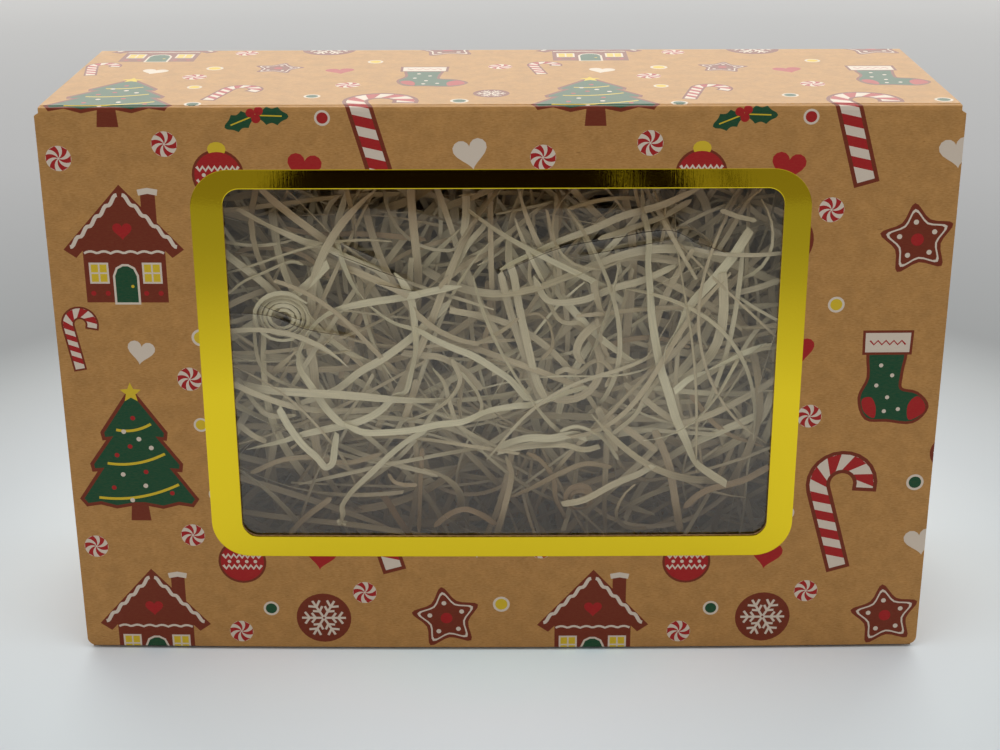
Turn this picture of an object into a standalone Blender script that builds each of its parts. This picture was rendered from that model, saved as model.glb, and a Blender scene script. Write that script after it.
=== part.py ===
"""A folded kraft board gift box with a windowed lid, standing on its long wall, filled with wood wool.

Metres, +Z up. X runs along the box, Y goes from the lid (front) to the base panel (back).
The origin is the middle of the footprint. The lid turns about the fold at its upper edge, and the
tuck flap turns about the fold at the lid's lower edge.
"""

import math

import bpy
from mathutils import Vector
from mathutils.geometry import intersect_line_line_2d

# The closed box. Its lid is the widest piece.
BOX_WIDTH = 0.320
BOX_HEIGHT = 0.212
BOX_DEPTH = 0.104

# Corrugated board, and the clearance kept between faces that touch on the real box.
BOARD = 0.0015
GAP = 0.0003
CUT_OVERRUN = 0.002

# The lid.
LID_OVERHANG = 0.0015
LID_FOOT_CLEARANCE = 0.0004
LID_RELIEF_WIDTH = 0.0015
LID_RELIEF_HEIGHT = 0.0020
LID_FOOT_CORNER = 0.0026

# The double score at the upper fold, which leaves a narrow sloping shoulder on the hinge wall.
SHOULDER_RUN = 0.0024
SHOULDER_NOSE = 0.0002
SHOULDER_FACE = 0.0003
SCORE_WIDTH = 0.0005
SCORE_DEPTH = 0.00025

# The board left round the window, which sits a little right of the lid's middle.
WINDOW_LEFT_BORDER = 0.0628
WINDOW_RIGHT_BORDER = 0.0604
WINDOW_TOP_BORDER = 0.0290
WINDOW_FOOT_BORDER = 0.0485
WINDOW_RADIUS = 0.006
CORNER_STEPS = 6

# The foil stamped round the window.
FOIL_SIDE_BORDER = 0.0107
FOIL_TOP_BORDER = 0.0072
FOIL_FOOT_BORDER = 0.0084
FOIL_SHIFT_X = -0.0009
FOIL_RADIUS = 0.014
FOIL_THICKNESS = 0.00015

# The clear film glued behind the window.
FILM_MARGIN = 0.010
FILM_THICKNESS = 0.0002

# The tuck flap below the lid.
TUCK_LENGTH = 0.030
TUCK_SIDE_CLEARANCE = 0.0010
TUCK_CLEARANCE = 0.0004
TUCK_CORNER = 0.010
SWING_MARGIN_SHARE = 1.12

# The rolled side walls, their corner flaps and the tabs that lock them into the base panel.
CORNER_FLAP_SPACING = 0.0324
CORNER_FLAP_TAPER = 0.007
TAB_LENGTH = 0.030
TAB_HEIGHT_SHARES = (0.26, 0.74)

# Wood wool: curled ribbons in front of a packed bed.
RIBBON_WIDTH = 0.0026
RIBBON_THICKNESS = 0.0004
RIBBON_STEPS = 20
FRONT_LAYER_DEPTH = 0.0095
BACK_LAYER_DEPTH = 0.0430
RIBBON_MARGIN = 0.010
RIBBON_FOOT_MARGIN = 0.004
WAVE_HEIGHT = 0.0022
WAVE_LENGTH_X = 0.105
WAVE_LENGTH_Z = 0.082
WAVE_START = math.radians(57.0)
LUMP_SHARE = 1 / 3
BED_STEP = 0.011
BED_CLEARANCE = 0.0005
BED_LUMP = 0.0045
BED_EDGE_FALL = 0.014
BED_EDGE_WIDTH = 0.045

# Routes of the ribbons that stand out in the window, front ones first, as shares of its width and
# height from its lower left corner.
HERO_ROUTES_SHARES = (
    ((0.02, 0.27), (0.18, 0.30), (0.33, 0.36), (0.43, 0.42), (0.49, 0.46)),
    ((0.89, 0.93), (0.86, 0.78), (0.77, 0.55), (0.76, 0.44), (0.80, 0.32), (0.86, 0.16)),
    ((0.10, 0.37), (0.13, 0.28), (0.18, 0.19), (0.19, 0.27)),
    ((0.41, 0.31), (0.29, 0.26), (0.22, 0.14), (0.20, 0.04)),
    ((0.42, 0.72), (0.25, 0.75), (0.16, 0.60), (0.18, 0.46), (0.28, 0.34), (0.40, 0.36), (0.62, 0.34)),
    ((0.20, 0.34), (0.35, 0.33), (0.48, 0.38), (0.60, 0.50), (0.74, 0.62)),
    ((0.97, 0.50), (0.88, 0.34), (0.80, 0.28), (0.66, 0.30), (0.60, 0.24)),
    ((0.03, 0.52), (0.12, 0.60), (0.22, 0.56), (0.36, 0.58), (0.47, 0.66), (0.52, 0.76)),
)

# Further ribbons are arcs that open out slowly, turned by an even angle from one to the next. Their
# middles are spread evenly by steps of these shares of the window.
ARC_COUNT = 24
ARC_TURN = math.radians(137.5)
ARC_SMALLEST = 0.028
ARC_LARGEST = 0.070
ARC_SWEEP_LEAST = math.radians(110.0)
ARC_SWEEP_MOST = math.radians(255.0)
ARC_OPENING_SHARE = 0.45
ARC_SPREAD_SHARES = (0.7549, 0.5698)

FRONT = -BOX_DEPTH / 2
BACK = BOX_DEPTH / 2
HALF_TRAY = BOX_WIDTH / 2 - LID_OVERHANG
SIDE_STACK = 3 * BOARD + 2 * GAP
INNER_HALF = HALF_TRAY - SIDE_STACK
TRAY_FRONT = FRONT + BOARD + GAP
INNER_BACK = BACK - BOARD
WALL_BACK = INNER_BACK - GAP
PLY_FRONT = TRAY_FRONT + BOARD + GAP
WALL_FOOT = BOARD + GAP
WALL_HEAD = BOX_HEIGHT - BOARD - GAP
LID_HEAD = BOX_HEIGHT - BOARD - GAP
WINDOW_LEFT = WINDOW_LEFT_BORDER - BOX_WIDTH / 2
WINDOW_RIGHT = BOX_WIDTH / 2 - WINDOW_RIGHT_BORDER
WINDOW_FOOT = WINDOW_FOOT_BORDER
WINDOW_HEAD = BOX_HEIGHT - WINDOW_TOP_BORDER
WINDOW_WIDTH = WINDOW_RIGHT - WINDOW_LEFT
WINDOW_HEIGHT = WINDOW_HEAD - WINDOW_FOOT
CORNER_FLAP_LENGTH = (WALL_HEAD - WALL_FOOT - CORNER_FLAP_SPACING) / 2


def clear_scene():
    for found in list(bpy.data.objects):
        bpy.data.objects.remove(found)


def material(name, colour, roughness, metallic=0.0, alpha=1.0):
    """A Principled material. The colour is linear red, green and blue."""
    made = bpy.data.materials.new(name)
    made.use_nodes = True
    shader = made.node_tree.nodes["Principled BSDF"]
    shader.inputs["Base Color"].default_value = (*colour, 1.0)
    shader.inputs["Roughness"].default_value = roughness
    shader.inputs["Metallic"].default_value = metallic
    shader.inputs["Alpha"].default_value = alpha
    return made


def mesh_object(name, points, faces, finish, origin=(0, 0, 0), parent=None):
    """An object from points in box coordinates, with its own origin at the given point."""
    middle = Vector(origin)
    mesh = bpy.data.meshes.new(name)
    mesh.from_pydata([Vector(point) - middle for point in points], [], faces)
    mesh.materials.append(finish)
    made = bpy.data.objects.new(name, mesh)
    bpy.context.scene.collection.objects.link(made)
    made.parent = parent
    made.location = middle - parent_place(parent)
    return made


def parent_place(parent):
    """Where a parent stands in the box, following its own parents."""
    place = Vector((0, 0, 0))
    while parent is not None:
        place += parent.location
        parent = parent.parent
    return place


def joint_axis(name, place, parent=None):
    """An empty on a fold line, which carries whatever turns about it."""
    empty = bpy.data.objects.new(name, None)
    bpy.context.scene.collection.objects.link(empty)
    empty.parent = parent
    empty.location = Vector(place) - parent_place(parent)
    return empty


def extruded(outline, low, high, axis):
    """Points and faces of an outline carried along an axis from low to high.

    The outline's two coordinates are the remaining axes in the order that keeps faces outwards
    for a loop drawn anticlockwise: Y and Z along X, Z and X along Y, X and Y along Z.
    """
    count = len(outline)
    order = {"X": (0, 1, 2), "Y": (1, 2, 0), "Z": (2, 0, 1)}[axis]
    points = []
    for level in (low, high):
        for first, second in outline:
            point = [0.0, 0.0, 0.0]
            point[order[0]] = level
            point[order[1]] = first
            point[order[2]] = second
            points.append(point)
    faces = [tuple(reversed(range(count))), tuple(range(count, 2 * count))]
    for i in range(count):
        j = (i + 1) % count
        faces.append((i, j, count + j, count + i))
    return points, faces


def panel(name, outline, low, high, axis, finish, origin=(0, 0, 0), parent=None):
    points, faces = extruded(outline, low, high, axis)
    return mesh_object(name, points, faces, finish, origin, parent)


def rectangle(first_low, first_high, second_low, second_high):
    return (
        (first_low, second_low),
        (first_high, second_low),
        (first_high, second_high),
        (first_low, second_high),
    )


def rounded(left, right, foot, head, radius):
    """A rectangle with round corners in Z and X, drawn anticlockwise about +Y."""
    limit = min(right - left, head - foot) / 2
    bend = min(radius, limit)
    corners = (
        (head - bend, right - bend, 0.0),
        (foot + bend, right - bend, 0.5),
        (foot + bend, left + bend, 1.0),
        (head - bend, left + bend, 1.5),
    )
    outline = []
    for centre_z, centre_x, half_turns in corners:
        for step in range(CORNER_STEPS + 1):
            angle = math.pi * (half_turns + 0.5 * step / CORNER_STEPS)
            outline.append((centre_z + bend * math.cos(angle), centre_x + bend * math.sin(angle)))
    return tuple(outline)


def cut(target, outline, low, high, axis):
    """Cuts an extruded outline from the target, with a hidden cutter that moves with it."""
    spare = bpy.data.materials.new(target.name + "_cut")
    name = f"{target.name}_cutter_{len(target.modifiers) + 1}"
    origin = target.matrix_basis.translation + parent_place(target.parent)
    cutter = panel(name, outline, low, high, axis, spare, origin, target.parent)
    cutter.hide_render = True
    cutter.display_type = "WIRE"
    change = target.modifiers.new(name, "BOOLEAN")
    change.operation = "DIFFERENCE"
    change.object = cutter


def window_outline():
    return rounded(WINDOW_LEFT, WINDOW_RIGHT, WINDOW_FOOT, WINDOW_HEAD, WINDOW_RADIUS)


def foil_outline(inset):
    """The foil's outer edge, drawn in by the given inset."""
    left = WINDOW_LEFT - FOIL_SIDE_BORDER + FOIL_SHIFT_X + inset
    right = WINDOW_RIGHT + FOIL_SIDE_BORDER + FOIL_SHIFT_X - inset
    foot = WINDOW_FOOT - FOIL_FOOT_BORDER + inset
    head = WINDOW_HEAD + FOIL_TOP_BORDER - inset
    return rounded(left, right, foot, head, FOIL_RADIUS - inset)


def build_base(kraft):
    """The panel at the back, with a slot for each locking tab of the side walls."""
    outline = rectangle(0, BOX_HEIGHT, -HALF_TRAY, HALF_TRAY)
    base = panel("base_panel", outline, INNER_BACK, BACK, "Y", kraft, (0, BACK, BOX_HEIGHT / 2))
    half_slot = TAB_LENGTH / 2 + GAP
    for side in (-1, 1):
        near, far = sorted((side * (INNER_HALF - GAP), side * (INNER_HALF + BOARD + GAP)))
        for share in TAB_HEIGHT_SHARES:
            middle = share * BOX_HEIGHT
            slot = rectangle(middle - half_slot, middle + half_slot, near, far)
            cut(base, slot, INNER_BACK - CUT_OVERRUN, BACK + CUT_OVERRUN, "Y")


def build_hinge_wall(kraft):
    """The upper wall, whose front end slopes down to the lid between the two scores."""
    score = FRONT + SHOULDER_RUN
    nose = FRONT + SHOULDER_NOSE
    inside = BOX_HEIGHT - BOARD
    outline = (
        (nose, inside),
        (WALL_BACK, inside),
        (WALL_BACK, BOX_HEIGHT),
        (score + SCORE_WIDTH / 2, BOX_HEIGHT),
        (score, BOX_HEIGHT - SCORE_DEPTH),
        (score - SCORE_WIDTH / 2, BOX_HEIGHT),
        (nose, inside + SHOULDER_FACE),
    )
    panel("hinge_wall", outline, -HALF_TRAY, HALF_TRAY, "X", kraft, (0, 0, BOX_HEIGHT))


def build_tuck_wall(kraft):
    """The lower wall, which the box stands on."""
    outline = rectangle(TRAY_FRONT, WALL_BACK, 0, BOARD)
    panel("tuck_wall", outline, -HALF_TRAY, HALF_TRAY, "X", kraft)


def build_side(name, side, kraft):
    """One side wall: an outer ply that rolls over at the front and comes back inside as a second ply."""
    place = (side * HALF_TRAY, 0, BOX_HEIGHT / 2)

    def across(inner, outer):
        return sorted((side * inner, side * outer))

    outer = rectangle(PLY_FRONT, WALL_BACK, WALL_FOOT, WALL_HEAD)
    panel(name + "_outer_wall", outer, *across(HALF_TRAY - BOARD, HALF_TRAY), "X", kraft, place)
    rolled = rectangle(TRAY_FRONT, TRAY_FRONT + BOARD, WALL_FOOT, WALL_HEAD)
    panel(name + "_rolled_edge", rolled, *across(INNER_HALF, HALF_TRAY), "X", kraft, place)
    inner = [(PLY_FRONT, WALL_FOOT), (WALL_BACK, WALL_FOOT)]
    for share in TAB_HEIGHT_SHARES:
        low = share * BOX_HEIGHT - TAB_LENGTH / 2
        high = share * BOX_HEIGHT + TAB_LENGTH / 2
        inner += [(WALL_BACK, low), (BACK - GAP, low), (BACK - GAP, high), (WALL_BACK, high)]
    inner += [(WALL_BACK, WALL_HEAD), (PLY_FRONT, WALL_HEAD)]
    panel(name + "_inner_wall", inner, *across(INNER_HALF, INNER_HALF + BOARD), "X", kraft, place)
    flap_inside = INNER_HALF + BOARD + GAP
    for end, root, tip in (
        ("lower", WALL_FOOT, WALL_FOOT + CORNER_FLAP_LENGTH),
        ("upper", WALL_HEAD, WALL_HEAD - CORNER_FLAP_LENGTH),
    ):
        flap = [
            (PLY_FRONT, root),
            (WALL_BACK, root),
            (WALL_BACK - CORNER_FLAP_TAPER, tip),
            (PLY_FRONT + CORNER_FLAP_TAPER, tip),
        ]
        if tip < root:
            flap.reverse()
        flap_name = f"{name}_{end}_corner_flap"
        panel(flap_name, flap, *across(flap_inside, flap_inside + BOARD), "X", kraft, place)


def build_lid(hinge, kraft, foil, film):
    """The lid with its window, the foil sunk flush in its face, and the film behind it."""
    half = BOX_WIDTH / 2
    narrow = half - LID_RELIEF_WIDTH
    foot = LID_FOOT_CLEARANCE
    outline = (
        (foot, -half + LID_FOOT_CORNER),
        (foot + LID_FOOT_CORNER, -half),
        (LID_HEAD - LID_RELIEF_HEIGHT, -half),
        (LID_HEAD, -narrow),
        (LID_HEAD, narrow),
        (LID_HEAD - LID_RELIEF_HEIGHT, half),
        (foot + LID_FOOT_CORNER, half),
        (foot, half - LID_FOOT_CORNER),
    )
    fold = (0, FRONT, BOX_HEIGHT)
    lid = panel("lid_panel", outline, FRONT, FRONT + BOARD, "Y", kraft, fold, hinge)
    cut(lid, window_outline(), FRONT - CUT_OVERRUN, FRONT + BOARD + CUT_OVERRUN, "Y")
    sink = FOIL_THICKNESS + GAP
    cut(lid, foil_outline(0), FRONT - CUT_OVERRUN, FRONT + sink, "Y")
    stamped = foil_outline(GAP)
    ring = panel("foil_frame", stamped, FRONT, FRONT + FOIL_THICKNESS, "Y", foil, fold, hinge)
    cut(ring, window_outline(), FRONT - CUT_OVERRUN, FRONT + BOARD, "Y")
    sheet = rectangle(
        WINDOW_FOOT - FILM_MARGIN,
        WINDOW_HEAD + FILM_MARGIN,
        WINDOW_LEFT - FILM_MARGIN,
        WINDOW_RIGHT + FILM_MARGIN,
    )
    glued = FRONT + BOARD + GAP
    panel("window_film", sheet, glued, glued + FILM_THICKNESS, "Y", film, fold, hinge)


def tuck_tilt():
    """How far the flap leans up, so that its tip passes the lower wall's edge as the lid swings out."""
    reach = BOARD + GAP + TUCK_LENGTH
    dip = reach * reach / (2 * (BOX_HEIGHT - 2 * BOARD))
    return math.asin(min(1.0, SWING_MARGIN_SHARE * dip / TUCK_LENGTH))


def build_tuck_flap(hinge, kraft):
    """The flap below the lid, with round free corners, tucked in above the lower wall."""
    tilt = tuck_tilt()
    fold = (0, FRONT + BOARD + GAP, BOARD + TUCK_CLEARANCE + BOARD * math.cos(tilt))
    axis = joint_axis("tuck_flap_axis", fold, hinge)
    half = INNER_HALF - TUCK_SIDE_CLEARANCE
    bend = min(TUCK_CORNER, TUCK_LENGTH)
    outline = [(-half, 0), (half, 0)]
    for side, first in ((1, 0.0), (-1, 0.5)):
        for step in range(CORNER_STEPS + 1):
            angle = math.pi * (first + 0.5 * step / CORNER_STEPS)
            along = side * (half - bend) + bend * math.cos(angle)
            outline.append((along, TUCK_LENGTH - bend + bend * math.sin(angle)))
    points, faces = extruded(outline, -BOARD, 0, "Z")
    flap = mesh_object("tuck_flap", points, faces, kraft)
    flap.parent = axis
    flap.rotation_euler = (tilt, 0, 0)


def wave(x, z):
    """The shared swell of all the layers of wood wool, zero on average."""
    along = math.sin(math.tau * x / WAVE_LENGTH_X + WAVE_START)
    return WAVE_HEIGHT * along * math.cos(math.tau * z / WAVE_LENGTH_Z)


def smooth_route(knots, count):
    """Evenly numbered points on a Catmull-Rom curve through the knots."""
    ends = [2 * knots[0] - knots[1], *knots, 2 * knots[-1] - knots[-2]]
    route = []
    for i in range(count + 1):
        place = i / count * (len(knots) - 1)
        leg = min(int(place), len(knots) - 2)
        t = place - leg
        a, b, c, d = ends[leg : leg + 4]
        linear = (c - a) * t
        square = (2 * a - 5 * b + 4 * c - d) * t * t
        cube = (3 * b - a - 3 * c + d) * t * t * t
        route.append((2 * b + linear + square + cube) / 2)
    return route


def hero_route(shares):
    knots = []
    for across, up in shares:
        x = WINDOW_LEFT + across * WINDOW_WIDTH
        knots.append(Vector((x, WINDOW_FOOT + up * WINDOW_HEIGHT)))
    return smooth_route(knots, RIBBON_STEPS)


def arc_route(number):
    """Ribbon of this number: an opening arc, moved so that it lies inside the filled area."""
    share = (number * ARC_SPREAD_SHARES[0]) % 1
    other = (number * ARC_SPREAD_SHARES[1]) % 1
    radius = ARC_SMALLEST + (ARC_LARGEST - ARC_SMALLEST) * other
    sweep = ARC_SWEEP_MOST - (ARC_SWEEP_MOST - ARC_SWEEP_LEAST) * other
    centre = Vector((WINDOW_LEFT + share * WINDOW_WIDTH, WINDOW_FOOT + other * WINDOW_HEIGHT))
    start = number * ARC_TURN
    route = []
    for i in range(RIBBON_STEPS + 1):
        done = i / RIBBON_STEPS
        angle = start + sweep * done
        reach = radius * (1 + ARC_OPENING_SHARE * done)
        route.append(centre + reach * Vector((math.cos(angle), math.sin(angle))))
    low = (WINDOW_LEFT - RIBBON_MARGIN, WINDOW_FOOT - RIBBON_FOOT_MARGIN)
    high = (WINDOW_RIGHT + RIBBON_MARGIN, WINDOW_HEAD + RIBBON_MARGIN)
    for axis in (0, 1):
        least = min(point[axis] for point in route)
        most = max(point[axis] for point in route)
        fit = min(1.0, (high[axis] - low[axis]) / (most - least))
        size = (most - least) * fit
        begin = max(low[axis], min(least, high[axis] - size))
        for point in route:
            point[axis] = begin + (point[axis] - least) * fit
    return route


def cross(first, second):
    """Whether two routes cross each other, seen from the front."""
    for a, b in zip(first, first[1:]):
        for c, d in zip(second, second[1:]):
            if intersect_line_line_2d(a, b, c, d) is not None:
                return True
    return False


def chain(first, meets):
    """An order that starts with the first ribbon, and how often it goes to one not crossed.

    Of those that the last one crosses, the one that crosses fewest of the rest comes next.
    """
    left = set(meets) - {first}
    order = [first]
    breaks = 0
    while left:
        touching = meets[order[-1]] & left
        breaks += not touching
        order.append(min(touching or left, key=lambda i: (len(meets[i] & left), i)))
        left.remove(order[-1])
    return breaks, order


def stacked(routes):
    """The routes' numbers from front to back, each one lying against the next."""
    every = range(len(routes))
    meets = {i: {j for j in every if j != i and cross(routes[i], routes[j])} for i in every}
    breaks, order = min(chain(first, meets) for first in every)
    return order


def build_ribbon(name, route, depth, finish):
    """A flat ribbon along a route in X and Z, lying on its own layer of the shared swell."""
    points = []
    for i, place in enumerate(route):
        ahead = route[min(i + 1, len(route) - 1)] - route[max(i - 1, 0)]
        side = Vector((-ahead.y, ahead.x)).normalized() * (RIBBON_WIDTH / 2)
        for edge, lift in ((1, 0), (-1, 0), (-1, 1), (1, 1)):
            x, z = place + edge * side
            points.append((x, FRONT + depth + wave(x, z) + lift * RIBBON_THICKNESS, z))
    last = len(points) - 4
    faces = [(3, 2, 1, 0), (last, last + 1, last + 2, last + 3)]
    for start in range(0, last, 4):
        for i in range(4):
            j = (i + 1) % 4
            faces.append((start + i, start + j, start + 4 + j, start + 4 + i))
    middle = route[len(route) // 2]
    mesh_object(name, points, faces, finish, (middle.x, FRONT + depth, middle.y))


def bed_front(x, z):
    """How far back the bed's face lies: the last layer's swell, lumps, and a fall at its edges."""
    ripple = math.sin(math.tau * x / (WAVE_LENGTH_X * LUMP_SHARE))
    ripple *= math.sin(math.tau * z / (WAVE_LENGTH_Z * LUMP_SHARE))
    edge = min(INNER_HALF - abs(x), z - WALL_FOOT, WALL_HEAD - z)
    fall = max(0.0, 1 - edge / BED_EDGE_WIDTH)
    lumps = BED_LUMP * max(0.0, ripple) + BED_EDGE_FALL * fall * fall
    last_ribbon = BACK_LAYER_DEPTH + RIBBON_THICKNESS + BED_CLEARANCE
    return FRONT + last_ribbon + wave(x, z) + lumps


def build_bed(finish):
    """The packed wood wool: a slab whose lumpy face swells with the ribbons that lie before it."""
    left, right = -INNER_HALF + GAP, INNER_HALF - GAP
    foot, head = WALL_FOOT, WALL_HEAD
    columns = max(2, round((right - left) / BED_STEP))
    rows = max(2, round((head - foot) / BED_STEP))
    points = []
    for back in (False, True):
        for row in range(rows + 1):
            z = foot + (head - foot) * row / rows
            for column in range(columns + 1):
                x = left + (right - left) * column / columns
                points.append((x, WALL_BACK if back else bed_front(x, z), z))
    width = columns + 1
    layer = width * (rows + 1)
    faces = []
    for row in range(rows):
        for column in range(columns):
            a = row * width + column
            faces.append((a, a + 1, a + 1 + width, a + width))
            faces.append((layer + a, layer + a + width, layer + a + 1 + width, layer + a + 1))
    rim = list(range(columns))
    rim += [row * width + columns for row in range(rows)]
    rim += [rows * width + column for column in range(columns, 0, -1)]
    rim += [row * width for row in range(rows, 0, -1)]
    for i, a in enumerate(rim):
        b = rim[(i + 1) % len(rim)]
        faces.append((b, a, layer + a, layer + b))
    mesh_object("wood_wool_bed", points, faces, finish, (0, WALL_BACK, BOX_HEIGHT / 2))


def build_wood_wool(finish):
    routes = [hero_route(shares) for shares in HERO_ROUTES_SHARES]
    routes += [arc_route(number) for number in range(1, ARC_COUNT + 1)]
    pitch = (BACK_LAYER_DEPTH - FRONT_LAYER_DEPTH) / (len(routes) - 1)
    for layer, number in enumerate(stacked(routes)):
        name = f"shred_strand_{number + 1:02d}"
        build_ribbon(name, routes[number], FRONT_LAYER_DEPTH + layer * pitch, finish)
    build_bed(finish)


def main():
    clear_scene()
    kraft = material("kraft_board", (0.33, 0.19, 0.08), 0.85)
    foil = material("gold_foil", (0.80, 0.62, 0.04), 0.22, metallic=1.0)
    film = material("clear_film", (0.95, 0.95, 0.95), 0.08, alpha=0.15)
    wool = material("wood_wool", (0.55, 0.50, 0.37), 0.80)
    build_base(kraft)
    build_hinge_wall(kraft)
    build_tuck_wall(kraft)
    for name, side in (("left", -1), ("right", 1)):
        build_side(name, side, kraft)
    hinge = joint_axis("lid_hinge_axis", (0, FRONT, BOX_HEIGHT))
    build_lid(hinge, kraft, foil, film)
    build_tuck_flap(hinge, kraft)
    build_wood_wool(wool)


main()
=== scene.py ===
# %% [markdown]
# A folded gift box of printed corrugated board, with a foil-edged window and a filling of wood wool.
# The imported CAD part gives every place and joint. This script dresses it: each CAD panel is replaced
# by board that is made as real board is, of two liners with a fluted sheet between them.

import math

import bpy
import numpy as np
from mathutils import Matrix, Vector
from mathutils.geometry import delaunay_2d_cdt


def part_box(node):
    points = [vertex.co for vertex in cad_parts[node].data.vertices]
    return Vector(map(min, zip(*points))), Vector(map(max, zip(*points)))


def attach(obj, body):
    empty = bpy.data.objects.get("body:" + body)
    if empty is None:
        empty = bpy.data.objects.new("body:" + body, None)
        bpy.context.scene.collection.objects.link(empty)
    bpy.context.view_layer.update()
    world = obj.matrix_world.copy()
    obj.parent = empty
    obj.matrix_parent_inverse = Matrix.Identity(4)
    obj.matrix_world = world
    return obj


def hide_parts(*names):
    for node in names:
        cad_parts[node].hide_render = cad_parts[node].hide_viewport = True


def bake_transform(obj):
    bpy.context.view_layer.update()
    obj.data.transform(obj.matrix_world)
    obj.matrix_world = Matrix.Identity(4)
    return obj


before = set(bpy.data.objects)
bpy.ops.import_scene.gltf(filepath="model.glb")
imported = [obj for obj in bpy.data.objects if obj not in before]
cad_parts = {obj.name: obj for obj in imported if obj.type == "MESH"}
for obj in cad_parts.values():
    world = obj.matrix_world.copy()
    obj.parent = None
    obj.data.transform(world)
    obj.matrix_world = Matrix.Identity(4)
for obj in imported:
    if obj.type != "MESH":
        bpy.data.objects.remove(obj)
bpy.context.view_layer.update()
MM = 0.001


def extent(node):
    """The low and the high corner of a CAD node's box, in mm."""
    return [np.array(corner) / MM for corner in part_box(node)]


# %% [markdown]
# Blender's shaders take linear light, while a colour picker gives sRGB. One function turns the one
# into the other, so that every colour below can be written as it is seen.

# %% Colours and nodes


def seen(code):
    """An sRGB hex colour as linear light: v / 12.92 near black, else ((v + 0.055) / 1.055) to the 2.4."""
    value = np.array([int(code[i : i + 2], 16) for i in (1, 3, 5)]) / 255
    linear = np.where(value <= 0.04045, value / 12.92, ((value + 0.055) / 1.055) ** 2.4)
    return (*linear.tolist(), 1.0)


def feed(node, inputs):
    """Gives a node's sockets their values, or a link where the value is another node's socket."""
    for socket, value in inputs.items():
        if isinstance(value, bpy.types.NodeSocket):
            node.id_data.links.new(value, node.inputs[socket])
        else:
            node.inputs[socket].default_value = value


def add(tree, kind, inputs=None, **settings):
    """Adds a shader node, makes its settings and feeds its sockets."""
    node = tree.nodes.new("ShaderNode" + kind)
    for name, value in settings.items():
        setattr(node, name, value)
    feed(node, inputs or {})
    return node


def colour_steps(ramp, steps):
    """Sets a colour ramp's stops from pairs of place and hex colour, and returns its colour output."""
    stops = ramp.color_ramp.elements
    while len(stops) < len(steps):
        stops.new(1.0)
    for stop, (place, code) in zip(stops, steps):
        stop.position, stop.color = place, seen(code)
    return ramp.outputs["Color"]


def new_material(name):
    """A material, its tree and its Principled shader."""
    made = bpy.data.materials.new(name)
    made.use_nodes = True
    return made, made.node_tree, made.node_tree.nodes["Principled BSDF"]


def grains(tree, place, spans, turn=0.0, **noise):
    """Noise whose grains have the given lengths in mm along a place's three axes, which may be turned about Z."""
    scale = tuple(1 / (span * MM) for span in spans)
    spread = add(tree, "Mapping", {"Vector": place, "Rotation": (0, 0, turn), "Scale": scale})
    return add(tree, "TexNoise", {"Vector": spread.outputs["Vector"], "Scale": 1.0, **noise}).outputs["Fac"]


# %% [markdown]
# The camera was found from the photograph: the eight corners of the box fix where it stood, which way
# it pointed and how long its lens was. It looks down on the box by about 21 degrees.

# %% Camera

CAMERA_PLACE = (0.00246, -0.63557, 0.34110)
CAMERA_DOWN, CAMERA_YAW, CAMERA_ROLL = -21.34, 0.26, 0.21
CAMERA_LENS, SENSOR = 62.08, 36.0


def camera_turn():
    """Right, forward and up of the camera: a roll about its line of sight, a tip down, then a turn about Z."""
    yaw = Matrix.Rotation(math.radians(CAMERA_YAW), 3, "Z")
    down = Matrix.Rotation(math.radians(CAMERA_DOWN), 3, "X")
    roll = Matrix.Rotation(math.radians(CAMERA_ROLL), 3, "Y")
    right, forward, up = (yaw @ down @ roll).col
    return Matrix((right, up, -forward)).transposed()


camera = bpy.data.objects.new("camera", bpy.data.cameras.new("camera"))
camera.data.lens = CAMERA_LENS
camera.data.sensor_width = SENSOR
camera.matrix_world = Matrix.Translation(CAMERA_PLACE) @ camera_turn().to_4x4()
bpy.context.scene.collection.objects.link(camera)
bpy.context.scene.camera = camera
bpy.context.scene.view_settings.view_transform = "Standard"
print("camera looks down by", -CAMERA_DOWN, "degrees")

# %% [markdown]
# A piece's mesh comes from arrays: points, triangles, and a finish number for each triangle. All of it
# goes into Blender with foreach_set, which takes whole arrays at once.

# %% Mesh from arrays


def mesh_piece(name, points, triangles, finishes, wears=None, flat=None, crease=35.0):
    """A named object. Points are in mm, and flat gives each point's place on the unfolded sheet, in mm."""
    mesh = bpy.data.meshes.new(name)
    mesh.vertices.add(len(points))
    mesh.vertices.foreach_set("co", (np.asarray(points) * MM).ravel())
    mesh.loops.add(triangles.size)
    mesh.loops.foreach_set("vertex_index", triangles.ravel().astype(np.int32))
    mesh.polygons.add(len(triangles))
    mesh.polygons.foreach_set("loop_start", np.arange(0, triangles.size, 3, dtype=np.int32))
    if wears is not None:
        mesh.polygons.foreach_set("material_index", np.asarray(wears, np.int32))
    mesh.polygons.foreach_set("use_smooth", np.ones(len(triangles), bool))
    for finish in finishes:
        mesh.materials.append(finish)
    if flat is not None:
        layer = mesh.uv_layers.new(name="sheet")
        layer.uv.foreach_set("vector", (np.asarray(flat) * MM)[triangles.ravel()].ravel())
    mesh.update(calc_edges=True)
    mesh.set_sharp_from_angle(angle=math.radians(crease))
    made = bpy.data.objects.new(name, mesh)
    bpy.context.scene.collection.objects.link(made)
    return made


def grid_triangles(rows, columns):
    """Two triangles for each cell of a grid of points in rows."""
    row, column = np.mgrid[0 : rows - 1, 0 : columns - 1]
    a = row * columns + column
    b, c, d = a + 1, a + columns, a + columns + 1
    return np.concatenate([np.stack([a, b, d], -1), np.stack([a, d, c], -1)], -1).reshape(-1, 3)


def rungs(a, b, step):
    """Two triangles for each pair of neighbours a and b and the pair that lies a step of points further on."""
    return np.concatenate([np.stack([b, a, a + step], -1), np.stack([b, a + step, b + step], -1)], -2)


def rectangle(left, right, low, high):
    """Four corners, anticlockwise."""
    return [(left, low), (right, low), (right, high), (left, high)]


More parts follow.
